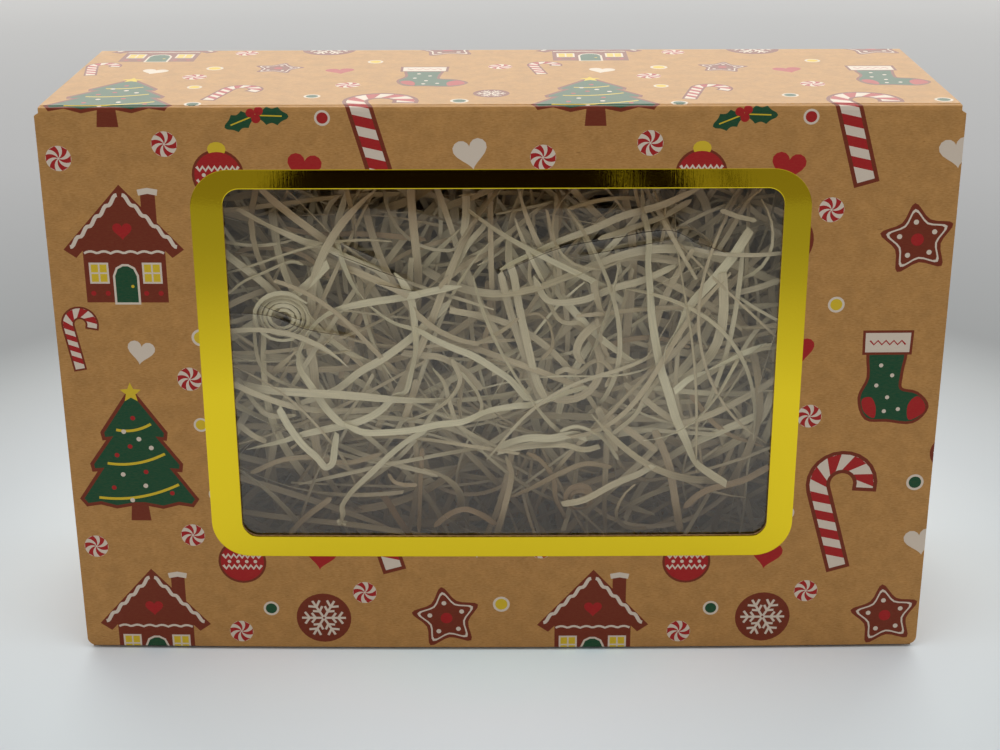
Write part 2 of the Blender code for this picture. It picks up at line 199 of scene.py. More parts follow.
# %% [markdown]
# The box stands on a pale floor under one wide soft lamp, with a dim even light all round. The floor's
# colour holds painted light and shade, but only where the camera sees it: it is painted paler close round
# the box and darker behind it, as in the photograph. In mirrors it is painted darker with the distance.
# The photograph's table ends in front of the box, and the foil and the film mirror the dark room past it,
# so a grey card and three dark ones lie there as painted reflections. The camera never sees them, only
# their reflections.

# %% Floor, cards and light

FLOOR_HALF = 4000.0
FLOOR_COLOUR = "#DEE0E2"
# Painted light and shade: each tone is given with its distance from the box, in metres. To the camera the
# floor is painted paler near the box, darkest at about 0.4 m and paler again far off; in mirrors it is
# painted darker with the distance.
SEEN_PAINTED_LIGHT_AND_SHADE = (
    (0.06, "#ECFAFE"), (0.10, "#EDF1F6"), (0.19, "#D5DBDF"), (0.25, "#BFC4C8"), (0.33, "#A8ABAD"),
    (0.40, "#87898B"), (0.78, "#9E9EA1"), (1.40, "#A8A8AB"), (2.20, "#BFBFC1"),
)
MIRRORED_PAINTED_SHADE = (
    (0.36, "#DEE0E2"), (0.44, "#CBCCCD"), (0.50, "#BEBEBF"), (0.57, "#AAAAAA"), (0.65, "#9E9E9E"), (0.74, "#9A9A9A"),
)
PALE_UP_TO = (-0.45, -0.15)
TABLE_END, ROOM_DEPTH = -735.0, 3000.0
# The cards' colours are painted reflections: a grey sheet and near-black ones that only the foil and the film mirror.
GREY_CARD, GREY_LIFT = "#8A857E", 0.2
DARK_CARD, DARK_LIFT = "#120A06", 0.4
DARK_SPANS = ((-187.0, 98.0), (104.5, 153.0), (183.0, 190.0))


def flat_card(name, left, right, front, back, height, finish):
    """A level rectangle, facing up."""
    points = [(*corner, height) for corner in rectangle(left, right, front, back)]
    card = mesh_piece(name, points, np.array([(0, 1, 2), (0, 2, 3)]), [finish])
    return card


def floor_with_painted_light_and_shade():
    """Matt pale paper with painted light and shade. In mirrors, and to the camera behind the box, its colour is
    painted in tones that change with the distance.
    """
    made, tree, shader = new_material("pale_floor_with_painted_shade")
    place = add(tree, "TexCoord").outputs["Object"]
    reach = add(tree, "VectorMath", {0: place}, operation="LENGTH").outputs["Value"]
    ray = add(tree, "LightPath").outputs
    depth = add(tree, "SeparateXYZ", {"Vector": place}).outputs["Y"]
    # Painted light and shade: camera rays see the painted tones only from PALE_UP_TO on, towards and past the box;
    # glossy rays see the mirrored painted shade.
    beside = add(tree, "MapRange", {"Value": depth, "From Min": PALE_UP_TO[0], "From Max": PALE_UP_TO[1]})
    painted_for_camera = add(tree, "Math", {0: ray["Is Camera Ray"], 1: beside.outputs["Result"]}, operation="MULTIPLY")
    colour = seen(FLOOR_COLOUR)
    for sight, tones in ((ray["Is Glossy Ray"], MIRRORED_PAINTED_SHADE), (painted_for_camera.outputs["Value"], SEEN_PAINTED_LIGHT_AND_SHADE)):
        end = tones[-1][0]
        far = add(tree, "MapRange", {"Value": reach, "From Max": end}).outputs["Result"]
        tone = colour_steps(add(tree, "ValToRGB", {"Fac": far}), [(at / end, code) for at, code in tones])
        colour = add(tree, "Mix", {0: sight, 6: colour, 7: tone}, data_type="RGBA").outputs[2]
    feed(shader, {"Base Color": colour, "Roughness": 0.7, "Specular IOR Level": 0.2})
    return made


def card_finish(name, code):
    made, _, shader = new_material(name)
    feed(shader, {"Base Color": seen(code), "Roughness": 0.9, "Specular IOR Level": 0.0})
    return made


def room_card(name, left, right, lift, finish):
    """A card on the floor past the table's end, which only mirrors see: a painted reflection of the dim room."""
    card = flat_card(name, left, right, TABLE_END - ROOM_DEPTH, TABLE_END, lift, finish)
    card.visible_camera = False
    card.visible_diffuse = False
    card.visible_shadow = False
    return card


floor = flat_card("floor", -FLOOR_HALF, FLOOR_HALF, -FLOOR_HALF, FLOOR_HALF, 0.0, floor_with_painted_light_and_shade())
grey, dark = card_finish("grey_room_painted_reflection", GREY_CARD), card_finish("dark_room_painted_reflection", DARK_CARD)
cards = [room_card("grey_card", -FLOOR_HALF / 2, FLOOR_HALF / 2, GREY_LIFT, grey)]
cards += [room_card(f"dark_card_{number}", *span, DARK_LIFT, dark) for number, span in enumerate(DARK_SPANS, 1)]


def soft_lamp(name, place, aim, width, depth, power, code):
    """A rectangular lamp of one colour at a place, facing the aim, both in mm."""
    data = bpy.data.lights.new(name, "AREA")
    data.shape = "RECTANGLE"
    data.size, data.size_y = width * MM, depth * MM
    data.energy, data.color = power, seen(code)[:3]
    lamp = bpy.data.objects.new(name, data)
    lamp.location = Vector(place) * MM
    lamp.rotation_euler = (Vector(aim) - Vector(place)).to_track_quat("-Z", "Y").to_euler()
    bpy.context.scene.collection.objects.link(lamp)
    return lamp


soft_lamp("overhead", (0, -120, 1200), (0, -60, 100), 1400, 1200, 9.8, "#FBFEFF")
behind = soft_lamp("behind", (0, 2800, 1240), (0, 0, 230), 5200, 1520, 88.0, "#FFFEF6")
behind.visible_camera = False
room = bpy.data.worlds.new("room")
room.use_nodes = True
feed(room.node_tree.nodes["Background"], {"Color": seen("#F7F6F4"), "Strength": 0.46})
bpy.context.scene.world = room
print("stage:", floor.name, *(card.name for card in cards))

# %% [markdown]
# The box is one die-cut sheet. Its middle strip runs from under the lid, up the lid, over the double
# score and the upper wall, down the base panel and back along the lower wall. Print, fibres and flutes
# belong to this flat sheet, so everything is drawn on it with u across and v along, both in mm, and
# then folded. On the lid, v is simply the height above the floor.

# %% The folded strip

BOARD = 1.5
lid_low, lid_high = extent("lid_panel")
FRONT, LID_FOOT = lid_low[1:]
HALF_LID, _, LID_HEAD = lid_high
HALF_TRAY, _, HEAD = extent("hinge_wall")[1]
BACK = extent("base_panel")[1][1]
TUCK_EDGE = extent("tuck_wall")[0][1]
FOLD_RADIUS, LIP_RADIUS = 2.0, 1.1
ARC_POINTS = 9
# The lid's foot hangs this much higher than the panel's own, which leaves a dark line above the floor.
FOOT_GAP = 0.4
LIP_FOOT = LID_FOOT + FOOT_GAP
SCORE_PLACE, SCORE_HALF, HINGE_GAP = FRONT + 2.4, 0.45, 0.6
BOW = 2.2


def run_along(points):
    """The distance run from a line's first point to each of its points."""
    steps = np.linalg.norm(np.diff(points, axis=-2), axis=-1)
    return np.concatenate([np.zeros((*steps.shape[:-1], 1)), np.cumsum(steps, -1)], -1)


def folded_line(corners, radii):
    """The outer face seen from its end: straight runs, and at each corner an arc of the given radius.

    An arc begins r tan(t / 2) before a corner whose turn is t, and its centre lies r to one side.
    Returns the distance run, the places and the outward directions at the line's own points.
    """
    corners = np.asarray(corners, float)
    ways = np.diff(corners, axis=0)
    ways /= np.linalg.norm(ways, axis=1, keepdims=True)
    left = np.stack([-ways[:, 1], ways[:, 0]], 1)
    places, outward = [corners[:1]], [left[:1]]
    for i, radius in enumerate(radii):
        turn = math.asin(float(np.cross(ways[i], ways[i + 1])))
        centre = corners[i + 1] - ways[i] * radius * math.tan(abs(turn) / 2) + math.copysign(radius, turn) * left[i]
        angle = np.linspace(0, turn, ARC_POINTS)[:, None]
        swung = left[i] * np.cos(angle) - ways[i] * np.sin(angle)
        places.append(centre - math.copysign(radius, turn) * swung)
        outward.append(swung)
    places, outward = np.concatenate([*places, corners[-1:]]), np.concatenate([*outward, left[-1:]])
    return run_along(places), places, outward


def at_run(s, run, places, outward):
    """A folded line's place and outward direction, each as two arrays, after the distances s."""
    return [np.interp(s, run, part[:, k]) for part in (places, outward) for k in (0, 1)]


def arc_ends(run, number):
    """The distances at which a folded line's arc begins and ends. Its arcs are numbered from 1."""
    return float(run[1 + (number - 1) * ARC_POINTS]), float(run[number * ARC_POINTS])


STRIP_CORNERS = (
    (FRONT + LIP_RADIUS, LIP_FOOT),
    (FRONT, LIP_FOOT),
    (FRONT, LID_HEAD),
    (FRONT + 0.32, HEAD - 0.34),
    (SCORE_PLACE - SCORE_HALF, HEAD - 0.06),
    (SCORE_PLACE, HEAD - 0.42),
    (SCORE_PLACE + SCORE_HALF, HEAD),
    (BACK, HEAD),
    (BACK, 0.0),
    (TUCK_EDGE, 0.0),
)
STRIP_RADII = (LIP_RADIUS, 0.6, 0.4, 0.15, 0.15, 0.3, FOLD_RADIUS, FOLD_RADIUS)
strip_run, strip_places, strip_outward = folded_line(STRIP_CORNERS, STRIP_RADII)
lid_face = slice(ARC_POINTS + 3)
straight_foot = LIP_FOOT + LIP_RADIUS
STRIP_START = np.interp(straight_foot, strip_places[lid_face, 1], strip_run[lid_face]) - straight_foot


def bow(u, v):
    """How far the closed lid bulges: nothing at its sides and fold, most at the middle of its foot."""
    down = np.clip((LID_HEAD - v) / (LID_HEAD - LID_FOOT), 0, 1)
    return BOW * (1 - np.clip(u / HALF_LID, -1, 1) ** 2) * np.sin(down * math.pi / 2)


def on_strip(u, v, depth):
    """Where a point of the flat strip lies in space, at a depth below its outer face."""
    y, z, out_y, out_z = at_run(v + STRIP_START, strip_run, strip_places, strip_outward)
    return np.stack([u, y - out_y * depth - bow(u, v), z - out_z * depth], -1)


past_score = slice(1 + 5 * ARC_POINTS, 2 + 6 * ARC_POINTS)
hinge_y = SCORE_PLACE + HINGE_GAP
HINGE_START = float(np.interp(hinge_y, strip_places[past_score, 0], strip_run[past_score])) - STRIP_START
BASE_START = arc_ends(strip_run, 7)[1] - STRIP_START
TUCK_START = arc_ends(strip_run, 8)[0] - STRIP_START
STRIP_END = float(strip_run[-1]) - STRIP_START
print("v in mm: hinge wall from", round(HINGE_START, 1), "base from", round(BASE_START, 1),
      "lower wall from", round(TUCK_START, 1), "to", round(STRIP_END, 1))

# %% [markdown]
# Each side wall leaves the base panel's edge, runs forward, rolls over and comes back inside as a
# second wall, so its printed face also shows inside the open box. Seen from above it is one more
# folded line, along u this time.

# %% The folded side walls

outer_low, outer_high = extent("right_outer_wall")
inner_low, inner_high = extent("right_inner_wall")
INNER_HALF, TAB_BACK = inner_low[0], inner_high[1]
SIDE_FOOT, SIDE_HEAD, SIDE_BACK = outer_low[2], outer_high[2], outer_high[1]
ROLL_FRONT = extent("right_rolled_edge")[0][1]
ROLL_RADIUS = 1.9
BASE_HALF, BASE_TOP = HALF_TRAY - FOLD_RADIUS, HEAD - FOLD_RADIUS
SIDE_CORNERS = (
    (BASE_HALF, BACK),
    (HALF_TRAY, BACK),
    (HALF_TRAY, ROLL_FRONT),
    (INNER_HALF, ROLL_FRONT),
    (INNER_HALF, TAB_BACK),
)
side_run, side_places, side_outward = folded_line(SIDE_CORNERS, (FOLD_RADIUS, ROLL_RADIUS, ROLL_RADIUS))


def on_side(side):
    """The folding of one side wall: u beyond the base panel runs along the folded line."""

    def place(u, v, depth):
        x, y, out_x, out_y = at_run(side * u - BASE_HALF, side_run, side_places, side_outward)
        return np.stack([side * (x - out_x * depth), y - out_y * depth, BASE_TOP - (v - BASE_START)], -1)

    return place


OUTER_END = BASE_HALF + arc_ends(side_run, 2)[0]
INNER_START = BASE_HALF + arc_ends(side_run, 3)[1]
TAB_END = BASE_HALF + float(side_run[-1])
SIDE_END = TAB_END - (TAB_BACK - SIDE_BACK)
print("u in mm: rolled edge from", round(OUTER_END, 1), "inner wall from", round(INNER_START, 1),
      "to", round(SIDE_END, 1))

# %% [markdown]
# The print is drawn as closed outlines, in mm, each with the name of its ink. Later outlines cover
# earlier ones. These helpers make the outlines as arrays.

# %% Drawing helpers

# The least divisor at a grown outline's corner, which limits how far a sharp one runs out.
SHARPEST = 0.35


def polar(reach, angle):
    """Points from their distances and directions: (r cos a, r sin a)."""
    return np.stack([reach * np.cos(angle), reach * np.sin(angle)], 1)


def turned(points, degrees):
    """Points turned about the origin: (x cos a - y sin a, x sin a + y cos a)."""
    angle = np.radians(degrees)
    x, y = np.asarray(points, float).T
    return np.stack([x * np.cos(angle) - y * np.sin(angle), x * np.sin(angle) + y * np.cos(angle)], 1)


def ring(centre, radius, steps=20, squash=1.0):
    """A circle or an ellipse: the centre plus the radius times (cos a, squash sin a)."""
    angle = np.linspace(0, 2 * np.pi, steps, endpoint=False)
    return np.asarray(centre) + radius * np.stack([np.cos(angle), squash * np.sin(angle)], 1)


def through(a, b, c, d, steps):
    """Catmull-Rom: a cubic from each b to its c, whose slope at a knot follows the knots beside it."""
    t = np.linspace(0, 1, steps, endpoint=False)[None, :, None]
    curve = 2 * b + (c - a) * t + (2 * a - 5 * b + 4 * c - d) * t**2 + (3 * b - a - 3 * c + d) * t**3
    return (curve / 2).reshape(-1, 2)


def soft_loop(knots, steps=4):
    """A closed Catmull-Rom curve."""
    knots = np.asarray(knots, float)
    return through(*(np.roll(knots, shift, 0)[:, None] for shift in (1, 0, -1, -2)), steps)


def smooth_line(places, steps=8):
    """An open Catmull-Rom curve, whose first and last knots are mirrored to give it ends."""
    knots = np.array(places, float)
    knots = np.concatenate([[2 * knots[0] - knots[1]], knots, [2 * knots[-1] - knots[-2]]])
    return np.concatenate([through(*(knots[i : len(knots) - 3 + i, None] for i in range(4)), steps), knots[-2:-1]])


def right_of(line):
    """Directions square to an open line, on the right of its way."""
    ahead = np.gradient(line, axis=0)
    ahead = ahead / np.linalg.norm(ahead, axis=1, keepdims=True)
    return np.stack([ahead[:, 1], -ahead[:, 0]], 1)


def between(one, other):
    """The outline between two open lines that run the same way."""
    return np.concatenate([one, other[::-1]])


def stroke(line, width):
    """A pen line's outline: the line moved half a width to its right, and back on its left."""
    line = np.asarray(line, float)
    aside = right_of(line) * width / 2
    return between(line + aside, line - aside)


def anticlockwise(loop):
    """The loop, turned round if its area, half the sum of x dy - y dx, is negative."""
    loop = np.asarray(loop, float)
    x, y = loop.T
    return loop if np.sum(x * np.roll(y, -1) - y * np.roll(x, -1)) > 0 else loop[::-1]


def grown(loop, width):
    """A loop whose sides are all moved outwards by the width and meet again at the corners."""
    loop = anticlockwise(loop)
    square = []
    for way in (loop - np.roll(loop, 1, 0), np.roll(loop, -1, 0) - loop):
        square.append(np.stack([way[:, 1], -way[:, 0]], 1) / np.linalg.norm(way, axis=1, keepdims=True))
    reach = 1 + np.sum(square[0] * square[1], 1, keepdims=True)
    return loop + width * (square[0] + square[1]) / np.maximum(reach, SHARPEST)


def mirrored(right):
    """A loop from its right half, which is drawn from the middle line and back to it."""
    right = np.asarray(right, float)
    return between(right, right * (-1, 1))


def star(outer, inner, arms=5):
    """A star's corners, by turns on the outer and the inner circle."""
    corner = np.arange(2 * arms)
    return polar(np.where(corner % 2, inner, outer), np.pi / 2 + corner * np.pi / arms)


def pen_line(ink, x, y, width):
    """A line drawn with a pen of the given width through the places x, y."""
    return ink, stroke(np.stack([x, y], 1), width)


def dots(ink, places, radius, steps=10):
    """Round dots of one ink and size."""
    return [(ink, ring(place, radius, steps)) for place in places]


def enlarged(drawn, size):
    """A motif that was drawn one unit high, at its real size."""
    return [(ink, size * np.asarray(loop)) for ink, loop in drawn]


print("a test ring has", len(ring((0, 0), 1)), "corners")

# %% [markdown]
# The motifs are the common ones of the season: fir trees, gingerbread houses and biscuits, stockings,
# canes, peppermints, baubles, holly, hearts and dots. They are simple shapes of this script's own, in
# the colours and at the scale of the box's print, and in an order of their own.

# %% Small motifs


def heart(size, ink):
    """The heart curve: x = 16 sin^3 a, y = 13 cos a - 5 cos 2a - 2 cos 3a - cos 4a."""
    a = np.linspace(0, 2 * np.pi, 26, endpoint=False)
    y = 13 * np.cos(a) - 5 * np.cos(2 * a) - 2 * np.cos(3 * a) - np.cos(4 * a) + 2.5
    return [(ink, size / 32 * np.stack([16 * np.sin(a) ** 3, y], 1))]


def dot(size, ink):
    return [("white", ring((0, 0), size / 2)), (ink, ring((0, 0), size * 0.36))]


def peppermint(size):
    """A round sweet. Each red blade lies between two spirals, whose angle grows with the radius."""
    drawn = [("white", ring((0, 0), size / 2, 28))]
    reach = np.linspace(0.04, 0.5, 7) * size
    for blade in range(6):
        angles = (blade * np.pi / 3 + start + 1.5 * reach / size for start in (0.0, 0.55))
        drawn.append(("red", between(*(polar(reach, angle) for angle in angles))))
    return drawn


def holly(size):
    """Two leaves whose edges swell as a sine with three scallops taken out, and three berries."""
    t = np.linspace(0, 1, 25)
    edge = 0.17 * size * np.sin(np.pi * t) ** 0.7 * (1 - 0.3 * np.abs(np.sin(3 * np.pi * t)))
    length = 0.55 * size * t
    blade = np.concatenate([np.stack([length, -edge], 1), np.stack([length, edge], 1)[-2:0:-1]])
    vein = stroke(np.linspace([0.08 * size, 0], [0.44 * size, 0], 3), 0.022 * size)
    drawn = []
    for way in (-12, 192):
        drawn += [("green", turned(blade, way)), ("yellow", turned(vein, way))]
    return drawn + dots("red", size * np.array([(-0.07, 0.05), (0.07, 0.06), (0.0, -0.06)]), 0.075 * size, 14)


def candy_cane(height, width):
    """A hooked stick: a straight line, then a little over half a circle, with slanting red bands."""
    hook = 0.21 * height
    up = np.stack([np.full(9, -hook), np.linspace(-height / 2, height / 2 - hook, 9)], 1)
    line = np.concatenate([up, polar(hook, np.linspace(np.pi, -0.15 * np.pi, 15)[1:]) + (0, height / 2 - hook)])
    run = run_along(line)
    aside = right_of(line) * width / 2
    drawn = [("brown", grown(stroke(line, width), 0.034 * height)), ("white", stroke(line, width))]
    pitch = 1.25 * width
    for start in np.arange(0.35 * pitch, run[-1] - 0.9 * pitch, pitch):
        edges = []
        for side, shift in ((1, 0.0), (-1, 0.55 * width)):
            at = start + shift + np.linspace(0, 0.52 * pitch, 4)
            edges.append(np.stack([np.interp(at, run, (line + side * aside)[:, k]) for k in (0, 1)], 1))
        drawn.append(("red", between(*edges)))
    return drawn


print("a peppermint is", len(peppermint(9)), "outlines and a cane", len(candy_cane(42, 6)))

# %% [markdown]
# Biscuits are piped with icing: a pale line round the edge, dots, or a snowflake. A bauble is a ball
# with two zigzags and a row of dots round its middle, under a cap.

# %% Biscuits and baubles


def star_biscuit(size):
    loop = soft_loop(star(size / 2, size / 3.2))
    drawn = [("brown", loop), ("white", 0.84 * loop), ("brown", 0.76 * loop), ("red", ring((0, 0), 0.085 * size, 14))]
    return drawn + dots("white", star(0.24 * size, 0.24 * size)[::2], 0.035 * size)


def snow_biscuit(size):
    """A round biscuit with a snowflake piped on it: six spokes, each with two pairs of barbs."""
    drawn = [("brown", ring((0, 0), size / 2, 32))]
    lines = [np.linspace([0.02, 0], [0.40, 0], 3)]
    for at, reach in ((0.15, 0.10), (0.26, 0.12)):
        lines += [np.linspace([at, 0], [at + 0.7 * reach, side * reach], 3) for side in (-1, 1)]
    for way in range(0, 360, 60):
        drawn += [("white", size * turned(stroke(line, 0.043), way)) for line in lines]
    return drawn


def bauble(size):
    radius = 0.41 * size
    cap = ring((0, 1.12 * radius), 0.16 * size, 14, 0.8)
    drawn = [("brown", ring((0, 0), 1.11 * radius, 32)), ("yellow", cap), ("red", ring((0, 0), radius, 32))]
    zigzag = (-1.0) ** np.arange(15)
    x = np.linspace(-0.89, 0.89, 15)
    for height in (0.28, -0.28):
        drawn.append(("white", stroke(radius * np.stack([x, height + 0.09 * zigzag], 1), 0.05 * size)))
    return drawn + dots("white", [(across * radius, 0) for across in np.linspace(-0.6, 0.6, 4)], 0.035 * size)


print("a snow biscuit is", len(snow_biscuit(21)), "outlines")

# %% [markdown]
# The large motifs are drawn one unit high and then enlarged. Each has a brown edge a little wider than
# itself, like the rim of a biscuit.

# %% Large motifs


def fir_tree(height):
    """Three tiers that widen downwards, on a short trunk, with sagging garlands and small baubles."""
    right = [(0.035, -0.36), (0.16, -0.385), (0.27, -0.355), (0.36, -0.37), (0.385, -0.335), (0.225, -0.10)]
    right += [(0.29, -0.105), (0.295, -0.075), (0.145, 0.135), (0.20, 0.13), (0.205, 0.16), (0.02, 0.43)]
    body = mirrored(right)
    trunk = mirrored([(0.07, -0.5), (0.055, -0.34)])
    drawn = [("brown", trunk), ("brown", grown(body, 0.025)), ("green", body)]
    for low, half, sag in ((-0.275, 0.28, 0.045), (-0.03, 0.20, 0.035), (0.205, 0.12, 0.025)):
        x = np.linspace(-half, half, 15)
        drawn.append(pen_line("yellow", x, low - sag * (1 - (x / half) ** 2) + 0.18 * x, 0.019))
    reds = ((-0.17, -0.25), (0.23, -0.29), (0.06, -0.13), (-0.13, -0.005), (-0.035, 0.06), (0.0, 0.27))
    whites = ((0.05, -0.235), (-0.05, -0.345), (-0.10, -0.15), (0.11, 0.05), (0.03, 0.115), (-0.07, 0.17))
    drawn += dots("red", reds, 0.017) + dots("white", whites, 0.017)
    drawn.append(("yellow", star(0.075, 0.034) + (0, 0.455)))
    return enlarged(drawn, height)


def gingerbread_house(height):
    """A gabled front with piped icing along its roof and eaves, a green door and two lit windows."""
    roof = [(0.0, 0.50), (-0.47, -0.02), (-0.40, -0.07), (0.0, 0.35), (0.40, -0.07), (0.47, -0.02)]
    drawn = [("brown", rectangle(0.17, 0.29, 0.2, 0.46))]
    drawn.append(("white", stroke([(0.15, 0.46), (0.23, 0.475), (0.31, 0.46)], 0.05)))
    drawn.append(("brown", [(-0.34, -0.48), (0.34, -0.48), (0.34, 0.02), (0.0, 0.4), (-0.34, 0.02)]))
    drawn.append(("brown", grown(roof, 0.018)))
    t = np.linspace(0, 1, 31)
    icing = 0.44 - 0.44 * t + 0.014 * np.sin(10 * np.pi * t)
    drawn += [pen_line("white", side * (0.02 + 0.42 * t), icing, 0.032) for side in (-1, 1)]
    door = mirrored([(0.09, -0.48), (0.09, -0.25), (0.065, -0.19), (0.02, -0.165)])
    drawn += [("white", grown(door, 0.018)), ("green", door), ("yellow", ring((0.05, -0.34), 0.014, 8))]
    for x in (-0.22, 0.22):
        pane = rectangle(x - 0.065, x + 0.065, -0.30, -0.15)
        drawn += [("white", grown(pane, 0.016)), ("yellow", pane)]
        drawn.append(("white", stroke([(x, -0.30), (x, -0.15)], 0.014)))
        drawn.append(("white", stroke([(x - 0.065, -0.225), (x + 0.065, -0.225)], 0.014)))
    x = np.linspace(-0.33, 0.33, 34)
    drawn.append(pen_line("white", x, -0.055 + 0.018 * np.abs(np.sin(9 * np.pi * x)), 0.02))
    drawn += [(ink, loop + (0, 0.13)) for ink, loop in heart(0.16, "red")]
    return enlarged(drawn + dots("red", [(x, -0.40) for x in (-0.28, -0.16, 0.16, 0.28)], 0.022), height)


def stocking(height):
    """A soft stocking with a patched heel and toe under a turned-down cuff."""
    leg = [(-0.13, 0.30), (-0.13, 0.0), (-0.20, -0.20), (-0.13, -0.40), (0.06, -0.42), (0.30, -0.44)]
    leg = soft_loop(leg + [(0.42, -0.30), (0.32, -0.17), (0.16, -0.12), (0.155, 0.05), (0.16, 0.30)])
    toe = [(0.27, -0.43), (0.40, -0.36), (0.41, -0.27), (0.33, -0.19), (0.25, -0.28)]
    heel = [(-0.185, -0.22), (-0.16, -0.34), (-0.06, -0.41), (-0.05, -0.30), (-0.10, -0.2)]
    cuff = [(-0.19, 0.25), (0.22, 0.25), (0.225, 0.44), (-0.195, 0.44)]
    drawn = [("brown", grown(leg, 0.028)), ("green", leg), ("red", soft_loop(toe)), ("red", soft_loop(heel))]
    drawn += [("brown", grown(cuff, 0.025)), ("white", cuff)]
    spots = ((-0.03, 0.12), (0.08, 0.02), (-0.06, -0.08), (0.05, -0.2), (0.16, -0.32), (0.03, -0.34))
    drawn += dots("white", spots, 0.02)
    drawn.append(pen_line("red", np.linspace(-0.15, 0.18, 10), 0.345 + 0.02 * (-1.0) ** np.arange(10), 0.016))
    return enlarged(drawn, height)


print("a fir tree is", len(fir_tree(54)), "outlines and a house", len(gingerbread_house(43)))

# %% [markdown]
# The printer's cylinder repeats one drawing over the whole sheet. The list gives each motif of the
# repeat with its middle and its turn in degrees, placed so that none touches another.

# %% The repeat

REPEAT_WIDTH, REPEAT_HEIGHT = 168, 150
REPEAT_LEFT, REPEAT_FOOT = -160, 0
SWEETS = ((60, 8), (44, 49), (7, 44), (108, 25), (105, 97), (47, 112), (160, 130))
DOTS = (
    (6.5, "yellow", (52, 128)), (6.5, "green", (146, 70)), (6.5, "yellow", (160, 20)), (6, "green", (94, 78)),
    (6, "green", (72, 18)), (5.5, "yellow", (50, 94)), (6, "yellow", (112, 140)), (6, "green", (54, 66)),
    (5.5, "red", (99, 58)),
)
REPEAT = (
    (gingerbread_house(43), (27, 12), 0), (fir_tree(54), (25, 82), 0), (stocking(39), (131, 112), 0),
    (candy_cane(42, 6.2), (122, 58), 16), (star_biscuit(27), (139, 14), 8), (star_biscuit(20), (76, 128), -10),
    (bauble(20), (62, 38), 0), (snow_biscuit(21), (92, 14), 0), (snow_biscuit(13), (157, 82), 0),
    (candy_cane(24, 3.8), (66, 83), -14), (candy_cane(21, 3.4), (10, 127), 10), (holly(21), (76, 59), 10),
    *((peppermint(9), place, 0) for place in SWEETS),
    (heart(12, "red"), (92, 40), -8), (heart(12, "white"), (150, 45), 10),
    (heart(11, "red"), (100, 122), 8), (heart(10, "white"), (30, 122), -10),
    *((dot(width, ink), place, 0) for width, ink, place in DOTS),
)
COPIES_ACROSS, COPIES_UP = range(-3, 4), range(-2, 6)
TURNED_REACH = 1.5


def print_within(low, high):
    """The outlines, in painter's order, of every copy of the repeat that reaches into a rectangle of the sheet."""
    found = []
    for column in COPIES_ACROSS:
        for row in COPIES_UP:
            corner = np.array([REPEAT_LEFT + column * REPEAT_WIDTH, REPEAT_FOOT + row * REPEAT_HEIGHT])
            for drawn, middle, way in REPEAT:
                reach = max(np.abs(loop).max() for _, loop in drawn) * TURNED_REACH
                centre = corner + middle
                if np.all(centre + reach > low) and np.all(centre - reach < high):
                    found += [(ink, turned(loop, way) + centre) for ink, loop in drawn]
    return found


print("outlines on the lid:", len(print_within(lid_low[[0, 2]], lid_high[[0, 2]])))

# %% [markdown]
# To print on a mesh without pictures, the sheet's outline and all the motifs' outlines are cut into
# triangles together (a constrained Delaunay triangulation). Each triangle then lies wholly inside or
# outside every outline, and takes the ink of the topmost one that holds it. The edges of the print
# stay sharp at any distance, and it ends exactly at the board's edge.

# %% Cutting a sheet into triangles

INKS = ("kraft", "brown", "green", "red", "white", "yellow")
ONLY_INSIDE, TOUCHING = 1, 1e-4


def cut_sheet(outline, holes, prints, lines=(), inks=INKS):
    """Flat points, anticlockwise triangles and each triangle's ink, for a sheet with holes and extra lines."""
    loops = [anticlockwise(loop) for loop in (outline, *holes, *(loop for _, loop in prints))]
    numbers = [0] * (1 + len(holes)) + [inks.index(ink) for ink, _ in prints]
    points = np.concatenate([*loops, *(np.asarray(line, float) for line in lines)])
    starts = np.cumsum([0] + [len(loop) for loop in loops])
    faces = [list(range(start, end)) for start, end in zip(starts[:-1], starts[1:])]
    edges = [(starts[-1] + 2 * i, starts[-1] + 2 * i + 1) for i in range(len(lines))]
    found = delaunay_2d_cdt([Vector(point) for point in points], edges, faces, ONLY_INSIDE, TOUCHING, True)
    places, triangles, owners = np.array([tuple(place) for place in found[0]]), found[2], found[5]
    kept = [i for i, held in enumerate(owners) if 0 in held and not any(1 <= owner <= len(holes) for owner in held)]
    wears = [numbers[max(owners[i])] for i in kept]
    used, triangles = np.unique(np.array([triangles[i] for i in kept]), return_inverse=True)
    return places[used], triangles.reshape(-1, 3), np.array(wears)


def closed_sheet(places, triangles, wears, near, far, place, edge_wear):
    """A sheet of real thickness: the triangles at the near depth, the same turned over at the far depth, and
    a strip round every free edge. A free edge is one whose opposite way no triangle runs along."""
    count = len(places)
    top, bottom = place(*places.T, near), place(*places.T, far)
    ways = np.concatenate([triangles[:, [0, 1]], triangles[:, [1, 2]], triangles[:, [2, 0]]])
    free = ways[~np.isin(ways[:, 0] * count + ways[:, 1], ways[:, 1] * count + ways[:, 0])]
    strip = rungs(*free.T, count)
    every = np.concatenate([triangles, triangles[:, ::-1] + count, strip])
    worn = np.concatenate([wears, np.zeros(len(triangles), int), np.full(len(strip), edge_wear)])
    corner = top[triangles[:, 0]]
    square = np.cross(top[triangles[:, 1]] - corner, top[triangles[:, 2]] - corner)
    if np.sum(square * (top - bottom)[triangles[:, 0]]) < 0:
        every = every[:, ::-1]
    return np.concatenate([top, bottom]), every, worn, np.concatenate([places, places])


def joined_piece(name, parts, finishes, crease=35.0):
    """One piece from several meshes, each of which has points, triangles, wears and places on the flat sheet."""
    starts = np.cumsum([0] + [len(part[0]) for part in parts])
    points, wears, flat = (np.concatenate([part[k] for part in parts]) for k in (0, 2, 3))
    triangles = np.concatenate([part[1] + start for part, start in zip(parts, starts)])
    print(name, "has", len(triangles), "triangles")
    return mesh_piece(name, points, triangles, finishes, wears, flat, crease)


